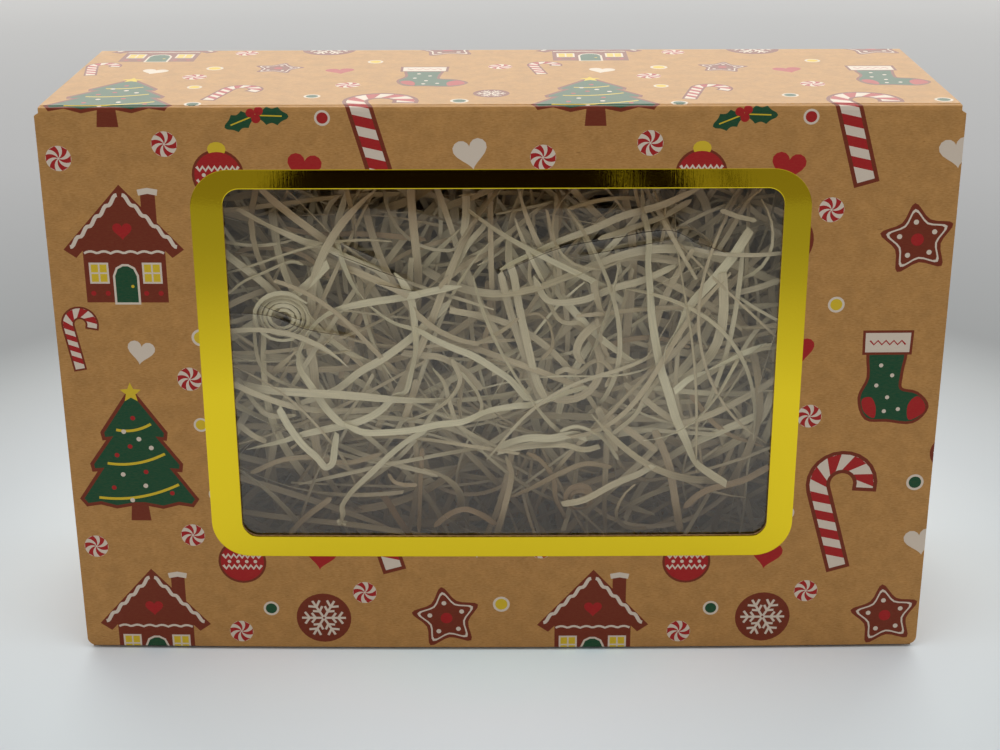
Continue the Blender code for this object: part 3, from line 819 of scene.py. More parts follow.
# %% [markdown]
# Corrugated board has an outer liner, a fluted sheet and an inner liner. The flutes run along v, as
# the ends of the waves then show at the window's top and foot. E-flute, the usual board for gift
# boxes, has a wave about every 3.2 mm. The creases crush the flutes, so these stop short of a fold.

# %% Board from its three plies

LINER = 0.28
FLUTE_PITCH, FLUTE_SHEET = 3.2, 0.16
FLUTE_STEPS = 8
EDGE_WEAR = len(INKS)


def flutes(left, right, spans, place):
    """The fluted sheet: its depth is a cosine of u, and spans(u) gives for all u the v at which runs begin and end.

    Each pair of v is one run of the sheet, such as below and above the window.
    """
    count = int(round((right - left) / FLUTE_PITCH * FLUTE_STEPS)) + 1
    u = np.linspace(left, right, count)
    swing = (BOARD - 2 * LINER - FLUTE_SHEET) / 2
    middle = BOARD / 2 + swing * np.cos(2 * np.pi * u / FLUTE_PITCH)
    points, triangles = [], []
    for low, high, rows in spans(u):
        v = low + (high - low) * np.linspace(0, 1, rows)[:, None]
        depths = [middle + side * FLUTE_SHEET / 2 for side in (-1, 1)]
        layer = [np.stack([np.broadcast_to(u, v.shape), v, np.broadcast_to(depth, v.shape)], -1) for depth in depths]
        rim = np.concatenate([
            np.arange(count),
            count * np.arange(1, rows) + count - 1,
            (rows - 1) * count + np.arange(count - 2, -1, -1),
            count * np.arange(rows - 2, 0, -1),
        ])
        sheet, half = grid_triangles(rows, count), rows * count
        start = sum(len(part) for part in points)
        walls = rungs(rim, np.roll(rim, -1), half)
        triangles.append(np.concatenate([sheet, sheet[:, ::-1] + half, walls]) + start)
        points.append(np.concatenate(layer).reshape(-1, 3))
    points, triangles = np.concatenate(points), np.concatenate(triangles)
    return place(*points.T), triangles, np.full(len(triangles), EDGE_WEAR), points[:, :2]


def board(name, outline, place, spans=None, holes=(), lines=(), rings=()):
    """A piece of board from its outline on the flat sheet and the folding that places it.

    Rings are loops of bare kraft under the print, which only give the mesh points where it bends.
    """
    low, high = np.min(outline, 0), np.max(outline, 0)
    face = cut_sheet(outline, holes, [*rings, *print_within(low, high)], lines)
    plain = cut_sheet(outline, holes, rings, lines)
    parts = [closed_sheet(*face, 0, LINER, place, EDGE_WEAR)]
    parts.append(closed_sheet(*plain, BOARD - LINER, BOARD, place, EDGE_WEAR))
    if spans is not None:
        parts.append(flutes(low[0] + 0.05, high[0] - 0.05, spans, place))
    made = joined_piece(name, parts, board_finishes)
    return made


# %% [markdown]
# Kraft liner is unbleached paper, warm brown, made from long fibres that lie mostly along the paper
# machine's way, which is across the flutes. It is matt, a little uneven in tone every few mm, and
# flecked with darker and paler fibres. The water-based inks sink into it, so the fibres still show
# faintly through every ink. One function makes the bare liner and all the inks on it.

# %% Kraft liner and inks

# Real fibres are finer than this. They are drawn as coarse as they need to be to show at all.
FIBRE_LENGTH, FIBRE_WIDTH = 1.5, 0.32
FLECK_LENGTH, FLECK_WIDTH, FLECK_TURN = FIBRE_LENGTH * 1.6, FIBRE_WIDTH * 1.3, 0.9
CLOUD_WIDTH = 6.0
# The sheet's coordinates are flat, so the span along their third axis has no effect.
FLAT = 1000.0


def kraft_liner(name, ink=None, cover=0.0, roughness=0.5):
    """Kraft paper, bare or under an ink that covers it by the given share."""
    made, tree, shader = new_material(name)
    sheet = add(tree, "UVMap", uv_map="sheet").outputs["UV"]
    fibres = grains(tree, sheet, (FIBRE_LENGTH, FIBRE_WIDTH, FLAT), Detail=2.0, Distortion=0.6)
    flecks = grains(tree, sheet, (FLECK_LENGTH, FLECK_WIDTH, FLAT), FLECK_TURN, Detail=1.0, Distortion=0.8)
    clouds = add(tree, "TexNoise", {"Vector": sheet, "Scale": 1 / (CLOUD_WIDTH * MM), "Detail": 3.0, "Roughness": 0.6})
    clouds = clouds.outputs["Fac"]
    tone = colour_steps(add(tree, "ValToRGB", {"Fac": fibres}), ((0.30, "#A67841"), (0.72, "#B88A53")))
    light = {"Value": clouds, "From Min": 0.3, "From Max": 0.7, "To Min": 0.90, "To Max": 1.09}
    light = add(tree, "MapRange", light).outputs["Result"]
    clouded = add(tree, "Mix", {0: 1.0, 6: tone, 7: light}, data_type="RGBA", blend_type="MULTIPLY").outputs[2]
    fleck = {"Value": flecks, "From Min": 0.70, "From Max": 0.80, "To Min": 0.0, "To Max": 0.5}
    fleck = add(tree, "MapRange", fleck).outputs["Result"]
    colour = add(tree, "Mix", {0: fleck, 6: clouded, 7: seen("#6E4A26")}, data_type="RGBA").outputs[2]
    if ink is not None:
        thin = {"Value": fibres, "From Min": 0.35, "From Max": 0.75, "To Min": cover, "To Max": cover - 0.05}
        thin = add(tree, "MapRange", thin).outputs["Result"]
        colour = add(tree, "Mix", {0: thin, 6: colour, 7: seen(ink)}, data_type="RGBA").outputs[2]
    fine = add(tree, "Bump", {"Height": fibres, "Strength": 0.15, "Distance": 0.03 * MM}).outputs["Normal"]
    relief = add(tree, "Bump", {"Height": clouds, "Strength": 0.15, "Distance": 0.08 * MM, "Normal": fine})
    feed(shader, {"Base Color": colour, "Normal": relief.outputs["Normal"], "Roughness": roughness})
    feed(shader, {"IOR": 1.5, "Specular IOR Level": 0.15})
    return made


def cut_edge():
    """The cut edges and flutes: the same pulp, seen end on, paler and rougher than the liner's face."""
    made, tree, shader = new_material("cut_corrugated_board")
    place = add(tree, "TexCoord").outputs["Object"]
    pulp = add(tree, "TexNoise", {"Vector": place, "Scale": 1 / (0.5 * MM), "Detail": 2.0}).outputs["Fac"]
    tone = colour_steps(add(tree, "ValToRGB", {"Fac": pulp}), ((0.3, "#A67C4C"), (0.7, "#CDA878")))
    feed(shader, {"Base Color": tone, "Roughness": 0.8})
    return made


board_finishes = (
    kraft_liner("kraft_liner"),
    kraft_liner("brown_ink_on_kraft", "#702B1B", 0.99, 0.45),
    kraft_liner("green_ink_on_kraft", "#0E482F", 0.99, 0.45),
    kraft_liner("red_ink_on_kraft", "#A01A20", 0.99, 0.45),
    kraft_liner("white_ink_on_kraft", "#D2C5B6", 0.93, 0.5),
    kraft_liner("yellow_ink_on_kraft", "#D0B22A", 0.96, 0.5),
    cut_edge(),
)
print("board finishes:", [finish.name for finish in board_finishes])

# %% [markdown]
# The lid: a flat panel with a rounded window, small slanting reliefs beside the fold and round lower
# corners. Lines ruled over it give the triangulation the points that the bulge needs. Where the die
# cuts a window it also crushes the board, so the face rolls back there, and so does the foil on it.

# %% Lid

film_low, film_high = extent("window_film")
FILM_MARGIN = 10.0
WINDOW_LEFT, WINDOW_RIGHT = film_low[0] + FILM_MARGIN, film_high[0] - FILM_MARGIN
WINDOW_FOOT, WINDOW_HEAD = film_low[2] + FILM_MARGIN, film_high[2] - FILM_MARGIN
WINDOW_RADIUS = 6.0
LIP_START = -STRIP_START
LID_CUT_HEAD = LID_HEAD - 0.35
LID_CORNER, LIP_HEIGHT = 3.0, 1.2
RELIEF_WIDTH, RELIEF_HEIGHT = 1.5, 0.8
CRUSH_WIDTH, CRUSH_DROP = 0.2, 0.05
RULED = 10.0
LID_FLUTE_STEPS, FLUTE_BACK = 9, 0.15


def rounded(left, right, foot, head, radius, steps=10):
    """A rectangle with quarter circles at its corners, drawn anticlockwise."""
    quarter = np.linspace(0, np.pi / 2, steps + 1)
    loops = []
    for quarters, (x, y) in enumerate(((right, head), (left, head), (left, foot), (right, foot))):
        sides = (x - (left + right) / 2, y - (foot + head) / 2)
        centre = np.array([x - math.copysign(radius, sides[0]), y - math.copysign(radius, sides[1])])
        loops.append(centre + polar(radius, quarter + quarters * np.pi / 2))
    return np.concatenate(loops)


def ruled_lines(low, high, spacing=RULED, nodes=()):
    """Lines right across a sheet, evenly spaced both ways, and at the given v."""
    low, high = np.asarray(low) - 1, np.asarray(high) + 1
    lines = []
    if spacing:
        lines += [((u, low[1]), (u, high[1])) for u in np.arange(low[0] + spacing, high[0] - 1, spacing)]
        lines += [((low[0], v), (high[0], v)) for v in np.arange(low[1] + spacing, high[1] - 1, spacing)]
    return lines + [((low[0], v), (high[0], v)) for v in nodes if low[1] + 1 < v < high[1] - 1]


def window_loop(margin):
    """The window's outline, moved outwards by a margin."""
    sides = (WINDOW_LEFT - margin, WINDOW_RIGHT + margin, WINDOW_FOOT - margin, WINDOW_HEAD + margin)
    return rounded(*sides, WINDOW_RADIUS + margin)


def past_edge(u, v, left, right, foot, head, radius):
    """The distance outside a rounded rectangle: that from a smaller one with square corners, less the radius."""
    across = np.abs(u - (left + right) / 2) - (right - left) / 2 + radius
    up = np.abs(v - (foot + head) / 2) - (head - foot) / 2 + radius
    return np.hypot(np.maximum(across, 0), np.maximum(up, 0)) + np.minimum(np.maximum(across, up), 0) - radius


def on_lid(u, v, depth):
    """The strip, with the board crushed at the window: its face sinks there as the square of the nearness."""
    past = past_edge(u, v, WINDOW_LEFT, WINDOW_RIGHT, WINDOW_FOOT, WINDOW_HEAD, WINDOW_RADIUS)
    near = 1 - np.clip(past / CRUSH_WIDTH, 0, 1)
    return on_strip(u, v, depth + CRUSH_DROP * near**2 * (1 - depth / BOARD))


def lid_outline():
    """Round lower corners, straight sides, and a slanting relief at each end of the fold."""
    centre = (HALF_LID - LID_CORNER, LIP_START + LIP_HEIGHT + LID_CORNER)
    corner = centre + polar(LID_CORNER, np.linspace(-np.pi / 2, 0, 7))
    lip = [(HALF_LID - LID_CORNER - 1.0, LIP_START)]
    top = [(HALF_LID, LID_CUT_HEAD - RELIEF_HEIGHT), (HALF_LID - RELIEF_WIDTH, LID_CUT_HEAD)]
    return mirrored(np.concatenate([lip, corner, top]))


def lid_spans(u):
    """The flutes run from the lip to the fold, but stop at the window, whose round corners limit them.

    They also stop short of the lid's own corners, below and above.
    """
    low, high = np.full(len(u), LIP_START + 3.0), np.full(len(u), LID_CUT_HEAD - 1.5)
    low = np.maximum(low, np.interp(np.abs(u), (HALF_LID - 4.5, HALF_LID - 1), (LIP_START, LIP_START + 6)))
    high = np.minimum(high, np.interp(np.abs(u), (HALF_LID - 2.0, HALF_LID), (LID_CUT_HEAD, LID_CUT_HEAD - 3)))
    inward = np.maximum(WINDOW_LEFT + WINDOW_RADIUS - u, u - WINDOW_RIGHT + WINDOW_RADIUS)
    inward = np.clip(inward, 0, WINDOW_RADIUS)
    rise = WINDOW_RADIUS - np.sqrt(WINDOW_RADIUS**2 - inward**2)
    inside = (u > WINDOW_LEFT) & (u < WINDOW_RIGHT)
    middle = (WINDOW_FOOT + WINDOW_HEAD) / 2
    foot = np.where(inside, WINDOW_FOOT + rise - FLUTE_BACK, middle)
    head = np.where(inside, WINDOW_HEAD - rise + FLUTE_BACK, middle)
    return ((low, foot, LID_FLUTE_STEPS), (head, high, LID_FLUTE_STEPS))


CRUSH_LOOPS = [("kraft", window_loop(CRUSH_WIDTH * share)) for share in (1.3, 1, 0.7, 0.35)]
strip_nodes = strip_run - STRIP_START
lid_lines = ruled_lines((-HALF_LID, LIP_START), (HALF_LID, LID_CUT_HEAD), RULED, strip_nodes)
lid = board("lid_board", lid_outline(), on_lid, lid_spans, (window_loop(0),), lid_lines, CRUSH_LOOPS)
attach(lid, "lid")
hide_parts("lid_panel")

# %% [markdown]
# The tray's panels follow on the same strip. Each wall takes the rounded fold at its end with it, and
# the base panel lies between the folds, with the four slots for the side walls' tabs.

# %% Upper wall, base panel and lower wall

TAB_HALF, SLOT_ROOM, TAB_SHARES = 15.0, 0.25, (0.74, 0.26)
TAB_MIDDLES = [BASE_START + BASE_TOP - share * HEAD for share in TAB_SHARES]
FLUTE_STOP, FOLD_STOP, SCORE_STOP, CUT_STOP = 1.5, 4.5, 0.5, 0.2


def strip_panel(name, half, start, end, flute_start, flute_end, holes=()):
    """A panel right across the strip, between two v. Its flutes run between another two."""

    def spans(u):
        return ((np.full(len(u), flute_start), np.full(len(u), flute_end), 2),)

    outline = rectangle(-half, half, start, end)
    lines = ruled_lines(outline[0], outline[2], 0, strip_nodes)
    made = board(name, outline, on_strip, spans, holes, lines)
    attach(made, "tray")
    return made


def base_slots():
    """A slot for each tab, where the inner side wall meets the base panel."""
    slots = []
    for side in (-1, 1):
        near, far = sorted((side * (INNER_HALF - SLOT_ROOM), side * (INNER_HALF + BOARD + SLOT_ROOM)))
        for middle in TAB_MIDDLES:
            slots.append(rectangle(near, far, middle - TAB_HALF - SLOT_ROOM, middle + TAB_HALF + SLOT_ROOM))
    return slots


hinge_flutes = (HINGE_START + SCORE_STOP, BASE_START - FOLD_STOP)
base_flutes = (BASE_START + FLUTE_STOP, TUCK_START - FLUTE_STOP)
hinge = strip_panel("hinge_wall_board", HALF_TRAY, HINGE_START, BASE_START, *hinge_flutes)
base = strip_panel("base_board", BASE_HALF, BASE_START, TUCK_START, *base_flutes, base_slots())
lower = strip_panel("tuck_wall_board", HALF_TRAY, TUCK_START, STRIP_END, TUCK_START + FOLD_STOP, STRIP_END - CUT_STOP)
for made, node in ((hinge, "hinge_wall"), (base, "base_panel"), (lower, "tuck_wall")):
    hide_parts(node)

# %% [markdown]
# The double score between the upper wall and the lid is the crease that carries the lid. It is crushed
# thin, shows as a narrow sloping shoulder, and bends when the lid swings.

# %% The creased shoulder

SHOULDER_THICKNESS = 0.5
CREASE_GAP = 0.02


def crease(name, outline, place, thickness, lines=()):
    """A strip of liner alone, for a fold that has to bend."""
    sheet = cut_sheet(outline, (), print_within(np.min(outline, 0), np.max(outline, 0)), lines)
    made = joined_piece(name, [closed_sheet(*sheet, 0, thickness, place, EDGE_WEAR)], board_finishes)
    return made


shoulder_outline = rectangle(-HALF_TRAY, HALF_TRAY, LID_CUT_HEAD - CREASE_GAP, HINGE_START + CREASE_GAP)
shoulder_lines = ruled_lines((-HALF_TRAY, LID_CUT_HEAD), (HALF_TRAY, HINGE_START), 0, strip_nodes)
shoulder = crease("lid_fold", shoulder_outline, on_strip, SHOULDER_THICKNESS, shoulder_lines)
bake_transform(shoulder)

# %% [markdown]
# A side wall is cut in three pieces at its folds: the outer ply, the rolled edge, whose flutes the roll
# crushes, and the inner ply with its two tabs.

# %% Side walls

SIDE_V = (BASE_START + BASE_TOP - SIDE_HEAD, BASE_START + BASE_TOP - SIDE_FOOT)
EDGE_ROOM, TAB_ROOM = 0.3, 0.1


def side_spans(u):
    """Flutes over a wall's whole height, in two runs, which shrink to the tabs past the wall's edge."""
    low, middle, high = SIDE_V[0] + EDGE_ROOM, sum(SIDE_V) / 2, SIDE_V[1] - EDGE_ROOM
    in_tab = np.abs(u) > SIDE_END - 0.05
    spans = []
    for start, end, tab in ((low, middle, TAB_MIDDLES[0]), (middle, high, TAB_MIDDLES[1])):
        tab_start, tab_end = tab - TAB_HALF + TAB_ROOM, tab + TAB_HALF - TAB_ROOM
        spans.append((np.where(in_tab, tab_start, start), np.where(in_tab, tab_end, end), 2))
    return spans


def side_panel(name, side, start, end, spans):
    """A stretch of a side wall between two u, with lines ruled across its folds. The inner wall ends in two tabs."""
    outline = [(start, SIDE_V[0]), (end, SIDE_V[0])]
    if end == SIDE_END:
        for middle in TAB_MIDDLES:
            low, high = middle - TAB_HALF, middle + TAB_HALF
            outline += [(end, low), (TAB_END, low), (TAB_END, high), (end, high)]
    outline = np.array(outline + [(end, SIDE_V[1]), (start, SIDE_V[1])]) * (side, 1)
    bends = [BASE_HALF + node for node in side_run]
    lines = [((side * u, SIDE_V[0] - 1), (side * u, SIDE_V[1] + 1)) for u in bends if start + 0.01 < u < end - 0.01]
    made = board(name, outline, on_side(side), spans, (), lines)
    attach(made, "tray")
    return made


SIDE_PARTS = (
    ("outer_wall", BASE_HALF, OUTER_END, side_spans),
    ("rolled_edge", OUTER_END, INNER_START, None),
    ("inner_wall", INNER_START, SIDE_END, side_spans),
)
for side, name in ((-1, "left"), (1, "right")):
    for part, start, end, spans in SIDE_PARTS:
        made = side_panel(f"{name}_{part}_board", side, start, end, spans)
        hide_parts(f"{name}_{part}")

# %% [markdown]
# The tuck flap folds in under the lid and leans up a little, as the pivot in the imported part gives.

# %% Tuck flap

TUCK_PIVOT = np.array([-50.2, 3.394])
TUCK_TILT = math.radians(5.18)
TUCK_LENGTH, TUCK_CORNER = 30.0, 10.0
TUCK_HALF = extent("tuck_flap")[1][0]


def on_flap(u, v, depth):
    """The flap's flat sheet goes on below the lid: v falls from zero at its root, and it leans about its pivot."""
    inward, up = -v, depth - BOARD
    y = TUCK_PIVOT[0] + inward * math.cos(TUCK_TILT) - up * math.sin(TUCK_TILT)
    z = TUCK_PIVOT[1] + inward * math.sin(TUCK_TILT) + up * math.cos(TUCK_TILT)
    return np.stack([u, y, z], -1)


def flap_outline():
    """A straight root and sides, and a quarter circle at each far corner."""
    corner = polar(TUCK_CORNER, np.linspace(-np.pi / 2, 0, 11)) + (TUCK_HALF - TUCK_CORNER, TUCK_CORNER - TUCK_LENGTH)
    return mirrored(np.concatenate([corner, [(TUCK_HALF, 0.0)]]))


def flap_spans(u):
    """The flutes stop short of the root's crease, and follow the round corners."""
    inward = np.clip(np.abs(u) - TUCK_HALF + TUCK_CORNER, 0, TUCK_CORNER)
    low = CUT_STOP - TUCK_LENGTH + TUCK_CORNER - np.sqrt(np.maximum(TUCK_CORNER**2 - inward**2, 0))
    return ((low, np.full(len(u), -2.0), 2),)


flap = board("tuck_flap_board", flap_outline(), on_flap, flap_spans)
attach(flap, "tuck_flap")
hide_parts("tuck_flap")

# %% [markdown]
# The crease between the lid and the flap bends whenever the flap is tucked in or drawn out, so it is a
# piece of its own.

# %% Fold between lid and tuck flap

FOLD_START, FOLD_END = FRONT + LIP_RADIUS - 0.3, TUCK_PIVOT[0] + 0.45
FOLD_LENGTH = 2.4


def on_tuck_fold(u, v, depth):
    """The fold rises as a smooth step, 3 s^2 - 2 s^3, from the bulging lid's foot to the straight flap."""
    share = 1 + v / FOLD_LENGTH
    lift = (LID_FOOT + BOARD - LIP_FOOT) * share**2 * (3 - 2 * share)
    y = FOLD_START + (FOLD_END - FOLD_START) * share**2 - bow(u, LID_FOOT) * (1 - share) ** 2
    return np.stack([u, y, LIP_FOOT + depth + lift], -1)


fold_outline = rectangle(-TUCK_HALF, TUCK_HALF, -FOLD_LENGTH, 0)
fold_lines = ruled_lines(fold_outline[0], fold_outline[2], 0, np.linspace(-FOLD_LENGTH, 0, 9)[1:-1])
fold_lines += [((u, -FOLD_LENGTH - 1), (u, 1)) for u in np.arange(-150, 151, 10)]
tuck_fold = crease("tuck_flap_crease", fold_outline, on_tuck_fold, BOARD, fold_lines)
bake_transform(tuck_fold)
print("the fold climbs from", FOLD_START, "to", FOLD_END)

# %% [markdown]
# The gold foil is stamped onto the lid under heat and takes the board's surface with it: smooth like a
# mirror close to, but faintly pebbled by the fibres, so reflections tear into fine streaks.

# %% Foil round the window

foil_low, foil_high = extent("foil_frame")
FOIL_RADIUS = 14.0
FOIL_THICKNESS, FOIL_TURN_IN = 0.06, 0.40
PRESSED_WIDTH, PRESSED_DROP = 0.25, 0.055


def gold_foil():
    """Stamped metal foil. A metal keeps the default IOR, and its colour is that of its reflection."""
    made, tree, shader = new_material("stamped_gold_foil")
    place = add(tree, "TexCoord").outputs["Object"]
    pebble = add(tree, "TexNoise", {"Vector": place, "Scale": 1 / (0.9 * MM), "Detail": 3.0, "Roughness": 0.6})
    streaks = grains(tree, place, (0.7, 8, 14), Detail=3.0, Roughness=0.65)
    streaked = add(tree, "Bump", {"Height": streaks, "Strength": 0.35, "Distance": 0.02 * MM}).outputs["Normal"]
    pebbled = {"Height": pebble.outputs["Fac"], "Strength": 0.25, "Distance": 0.012 * MM, "Normal": streaked}
    feed(shader, {"Base Color": seen("#EFD32C"), "Normal": add(tree, "Bump", pebbled).outputs["Normal"]})
    feed(shader, {"Metallic": 1.0, "Roughness": 0.05})
    return made


def on_foil(u, v, depth):
    """The lid's face, but pressed in along the foil's outer edge, as the square of the nearness."""
    past = past_edge(u, v, foil_low[0], foil_high[0], foil_low[2], foil_high[2], FOIL_RADIUS)
    return on_lid(u, v, depth + PRESSED_DROP * np.clip(1 + past / PRESSED_WIDTH, 0, 1) ** 2)


def foil_loop(margin):
    """The foil's outer edge, moved inwards by a margin."""
    sides = (foil_low[0] + margin, foil_high[0] - margin, foil_low[2] + margin, foil_high[2] - margin)
    return rounded(*sides, FOIL_RADIUS - margin, 16)


def foil_ring():
    """The foil covers the board's face and turns a little way into the cut edge of the window."""
    lines = ruled_lines((foil_low[0], foil_low[2]), (foil_high[0], foil_high[2]), 5.0)
    pressed = [("kraft", foil_loop(PRESSED_WIDTH * share)) for share in (0.35, 0.7, 1, 1.3)]
    sheet = cut_sheet(foil_loop(0), (window_loop(-FOIL_THICKNESS),), pressed + CRUSH_LOOPS, lines)
    parts = [closed_sheet(*sheet, -FOIL_THICKNESS, FOIL_TURN_IN, on_foil, 0)]
    made = joined_piece("foil_stamping", parts, [gold_foil()])
    return made


foil = foil_ring()
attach(foil, "lid")
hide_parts("foil_frame")

# %% [markdown]
# The window is a thin clear film, glued behind the board by its margin. It isn't quite flat: pulls in
# the glue leave long shallow creases, which show where they tip its reflection from the pale floor to
# the dark room. Clear film is best made of see-through and mirror, mixed by the angle of sight, because
# light then reaches the filling through it. Each of its two faces mirrors 5% seen straight on.

# %% Window film

FILM_DEPTH, FILM_THICKNESS = BOARD + 0.06, 0.12
FILM_GRID = 3.0
FILM_LEAN, EASED_WIDTH, TOP_STRETCH = 0.4, 14.0, 7.0
# The width of the painted shade along each crease: a thin brown stroke in the film.
PAINTED_CREASE_SHADE_WIDTH = 0.34
CREASE_ROWS = (-2.2, -1.2, -0.6, -0.15, 0.15, 0.6, 1.2, 2.2)
# Each crease has its places (u, v), its height and the width over which it falls off.
CREASES = (
    (((-58, 159), (-46, 154), (-33, 149)), 0.22, 0.9),
    (((-56, 163), (-43, 157)), 0.12, 0.7),
    (((-98, 137), (-83, 136), (-70, 131), (-54, 128)), 0.24, 1.1),
    (((-86, 140), (-71, 134)), 0.12, 0.7),
    (((0, 152), (21, 161), (42, 165), (52, 167), (62, 167), (72, 161)), 0.20, 0.9),
    (((28, 158), (44, 161), (60, 164)), 0.12, 0.7),
    (((70, 163), (80, 159)), 0.12, 0.8),
    (((-44, 148), (-30, 145)), 0.12, 0.8),
)
crease_lines = [(smooth_line(route), height, width) for route, height, width in CREASES]


def from_line(u, v, line):
    """The distance of points from an open line: the least of those from its pieces."""
    start, way = line[:-1], np.diff(line, axis=0)
    u, v = (np.asarray(value, float)[..., None] for value in (u, v))
    along = np.clip(((u - start[:, 0]) * way[:, 0] + (v - start[:, 1]) * way[:, 1]) / np.sum(way**2, 1), 0, 1)
    return np.min(np.hypot(u - start[:, 0] - along * way[:, 0], v - start[:, 1] - along * way[:, 1]), -1)


def creased_depth(u, v):
    """How far the film stands forward of its glued margin.

    It leans out in a straight stretch below the window's head, and eases out from the other edges, to wide
    swells. A crease is a sharp ridge that falls off as exp(-distance / width).
    """
    inward = np.minimum.reduce([u - WINDOW_LEFT, WINDOW_RIGHT - u, v - WINDOW_FOOT])
    share = np.clip(inward / EASED_WIDTH, 0, 1)
    head = np.clip((WINDOW_HEAD - v) / TOP_STRETCH, 0, 1)
    depth = -FILM_LEAN - 0.12 * np.sin(u / 31.0 + 0.4) * np.sin(v / 23.0) - 0.05 * np.sin(u / 11.0 + v / 17.0)
    for line, height, width in crease_lines:
        depth = depth - height * np.exp(-from_line(u, v, line) / width)
    return FILM_DEPTH + depth * share * share * (3 - 2 * share) * head


def on_film(u, v, depth):
    return on_strip(u, v, depth + creased_depth(u, v))


def film_face(name, tint, gloss, roughness, share=None):
    """Polyester film: it mirrors a share of the light and lets the rest through, tinted.

    Where no share is given, it grows from 5% seen straight on, as (1 - cos)^5.
    """
    made, tree, shader = new_material(name)
    tree.nodes.remove(shader)
    if share is None:
        facing = add(tree, "LayerWeight", {"Blend": 0.5}).outputs["Facing"]
        steep = add(tree, "Math", {0: facing, 1: 5.0}, operation="POWER").outputs["Value"]
        share = add(tree, "MapRange", {"Value": steep, "To Min": 0.048, "To Max": 1.0}).outputs["Result"]
    through_film = add(tree, "BsdfTransparent", {"Color": (*tint, 1.0)}).outputs["BSDF"]
    mirror = add(tree, "BsdfAnisotropic", {"Color": seen(gloss), "Roughness": roughness}).outputs["BSDF"]
    mixed = add(tree, "MixShader", {0: share, 1: through_film, 2: mirror}).outputs["Shader"]
    feed(tree.nodes["Material Output"], {"Surface": mixed})
    return made


def film_sheet():
    """The film's outline, cut along a coarse grid, along rows beside each crease, and round each fold.

    Along each crease a thin brown stroke, tapered at its ends, is laid in the film: painted shade.
    """
    low, high = film_low[[0, 2]], film_high[[0, 2]]
    head = WINDOW_HEAD - TOP_STRETCH
    lines = ruled_lines(low, high, FILM_GRID, (head - 0.2, head + 0.2))
    folds = []
    for line, *_ in crease_lines:
        for row in CREASE_ROWS:
            moved = line + row * right_of(line)
            lines += list(zip(moved[:-1], moved[1:]))
        taper = np.sin(np.linspace(0.15, np.pi - 0.15, len(line)))[:, None]
        folds.append(("fold", stroke(line, PAINTED_CREASE_SHADE_WIDTH * taper)))
    sheet = cut_sheet(rectangle(low[0], high[0], low[1], high[1]), (), folds, lines, ("clear", "fold"))
    faces = [film_face("clear_polyester_film", (0.98, 0.98, 0.98), "#FFFAF2", 0.03),
             film_face("film_with_painted_crease_shade", (0.30, 0.26, 0.20), "#FFF8F1", 0.15, 0.06)]
    made = joined_piece("clear_window_film", [closed_sheet(*sheet, 0, FILM_THICKNESS, on_film, 0)], faces, crease=80)
    return made


film = film_sheet()
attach(film, "lid")
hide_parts("window_film")

# %% [markdown]
# Wood wool is long thin ribbons planed off a log. Each keeps a slow curl and twist of its own, and the
# packed mass turns dark with depth because the ribbons shade each other, and because their colour is also
# painted darker with depth. A ribbon here is a line whose direction swings as the sum of a bend and a
# wave, and a width that turns slowly about the line. All ribbons of a layer are worked out together, as
# arrays of ribbons by steps.

# %% Ribbon shapes

RIBBON_THICKNESS = 0.16
WOOL_SEED = 24
ROOM_LOW = np.array([-INNER_HALF + 2.2, -48.0, 3.6])
ROOM_HIGH = np.array([INNER_HALF - 2.2, 48.5, HEAD - 3.6])
SOFT_EDGE = np.array([9.0, 5.0, 9.0])
FLAP_SWEEP = 33.0
LEAN, LEAN_HEIGHTS = 20.0, (30, 95)
CURLED_SHARE, CURLED_MORE = 0.22, 3.2
# The six points of a ribbon's section: the share of its width to one side, its face and its cup.
SECTION = np.array([(0.5, 1, 0), (0, 1, 1), (-0.5, 1, 0), (-0.5, -1, 0), (0, -1, 1), (0.5, -1, 0)])
CUP = 0.05
END_CAP = np.array([(0, 5, 1), (1, 5, 4), (1, 4, 2), (2, 4, 3)])


def kept_inside(points):
    """Points eased into the box: near a wall the distance past a soft limit is folded back as a tanh."""
    low, high = ROOM_LOW + SOFT_EDGE, ROOM_HIGH - SOFT_EDGE
    over, under = np.maximum(points - high, 0), np.maximum(low - points, 0)
    return np.clip(points, low, high) + SOFT_EDGE * np.tanh(over / SOFT_EDGE) - SOFT_EDGE * np.tanh(under / SOFT_EDGE)


def clear_of_flap(points):
    """Points pushed straight away from the tuck flap's fold until they are outside its sweep."""
    away = points[..., 1:] - TUCK_PIVOT
    reach = np.linalg.norm(away, axis=-1, keepdims=True)
    pushed = TUCK_PIVOT + away * FLAP_SWEEP / np.maximum(reach, 1.0)
    return np.concatenate([points[..., :1], np.where(reach < FLAP_SWEEP, pushed, points[..., 1:])], -1)


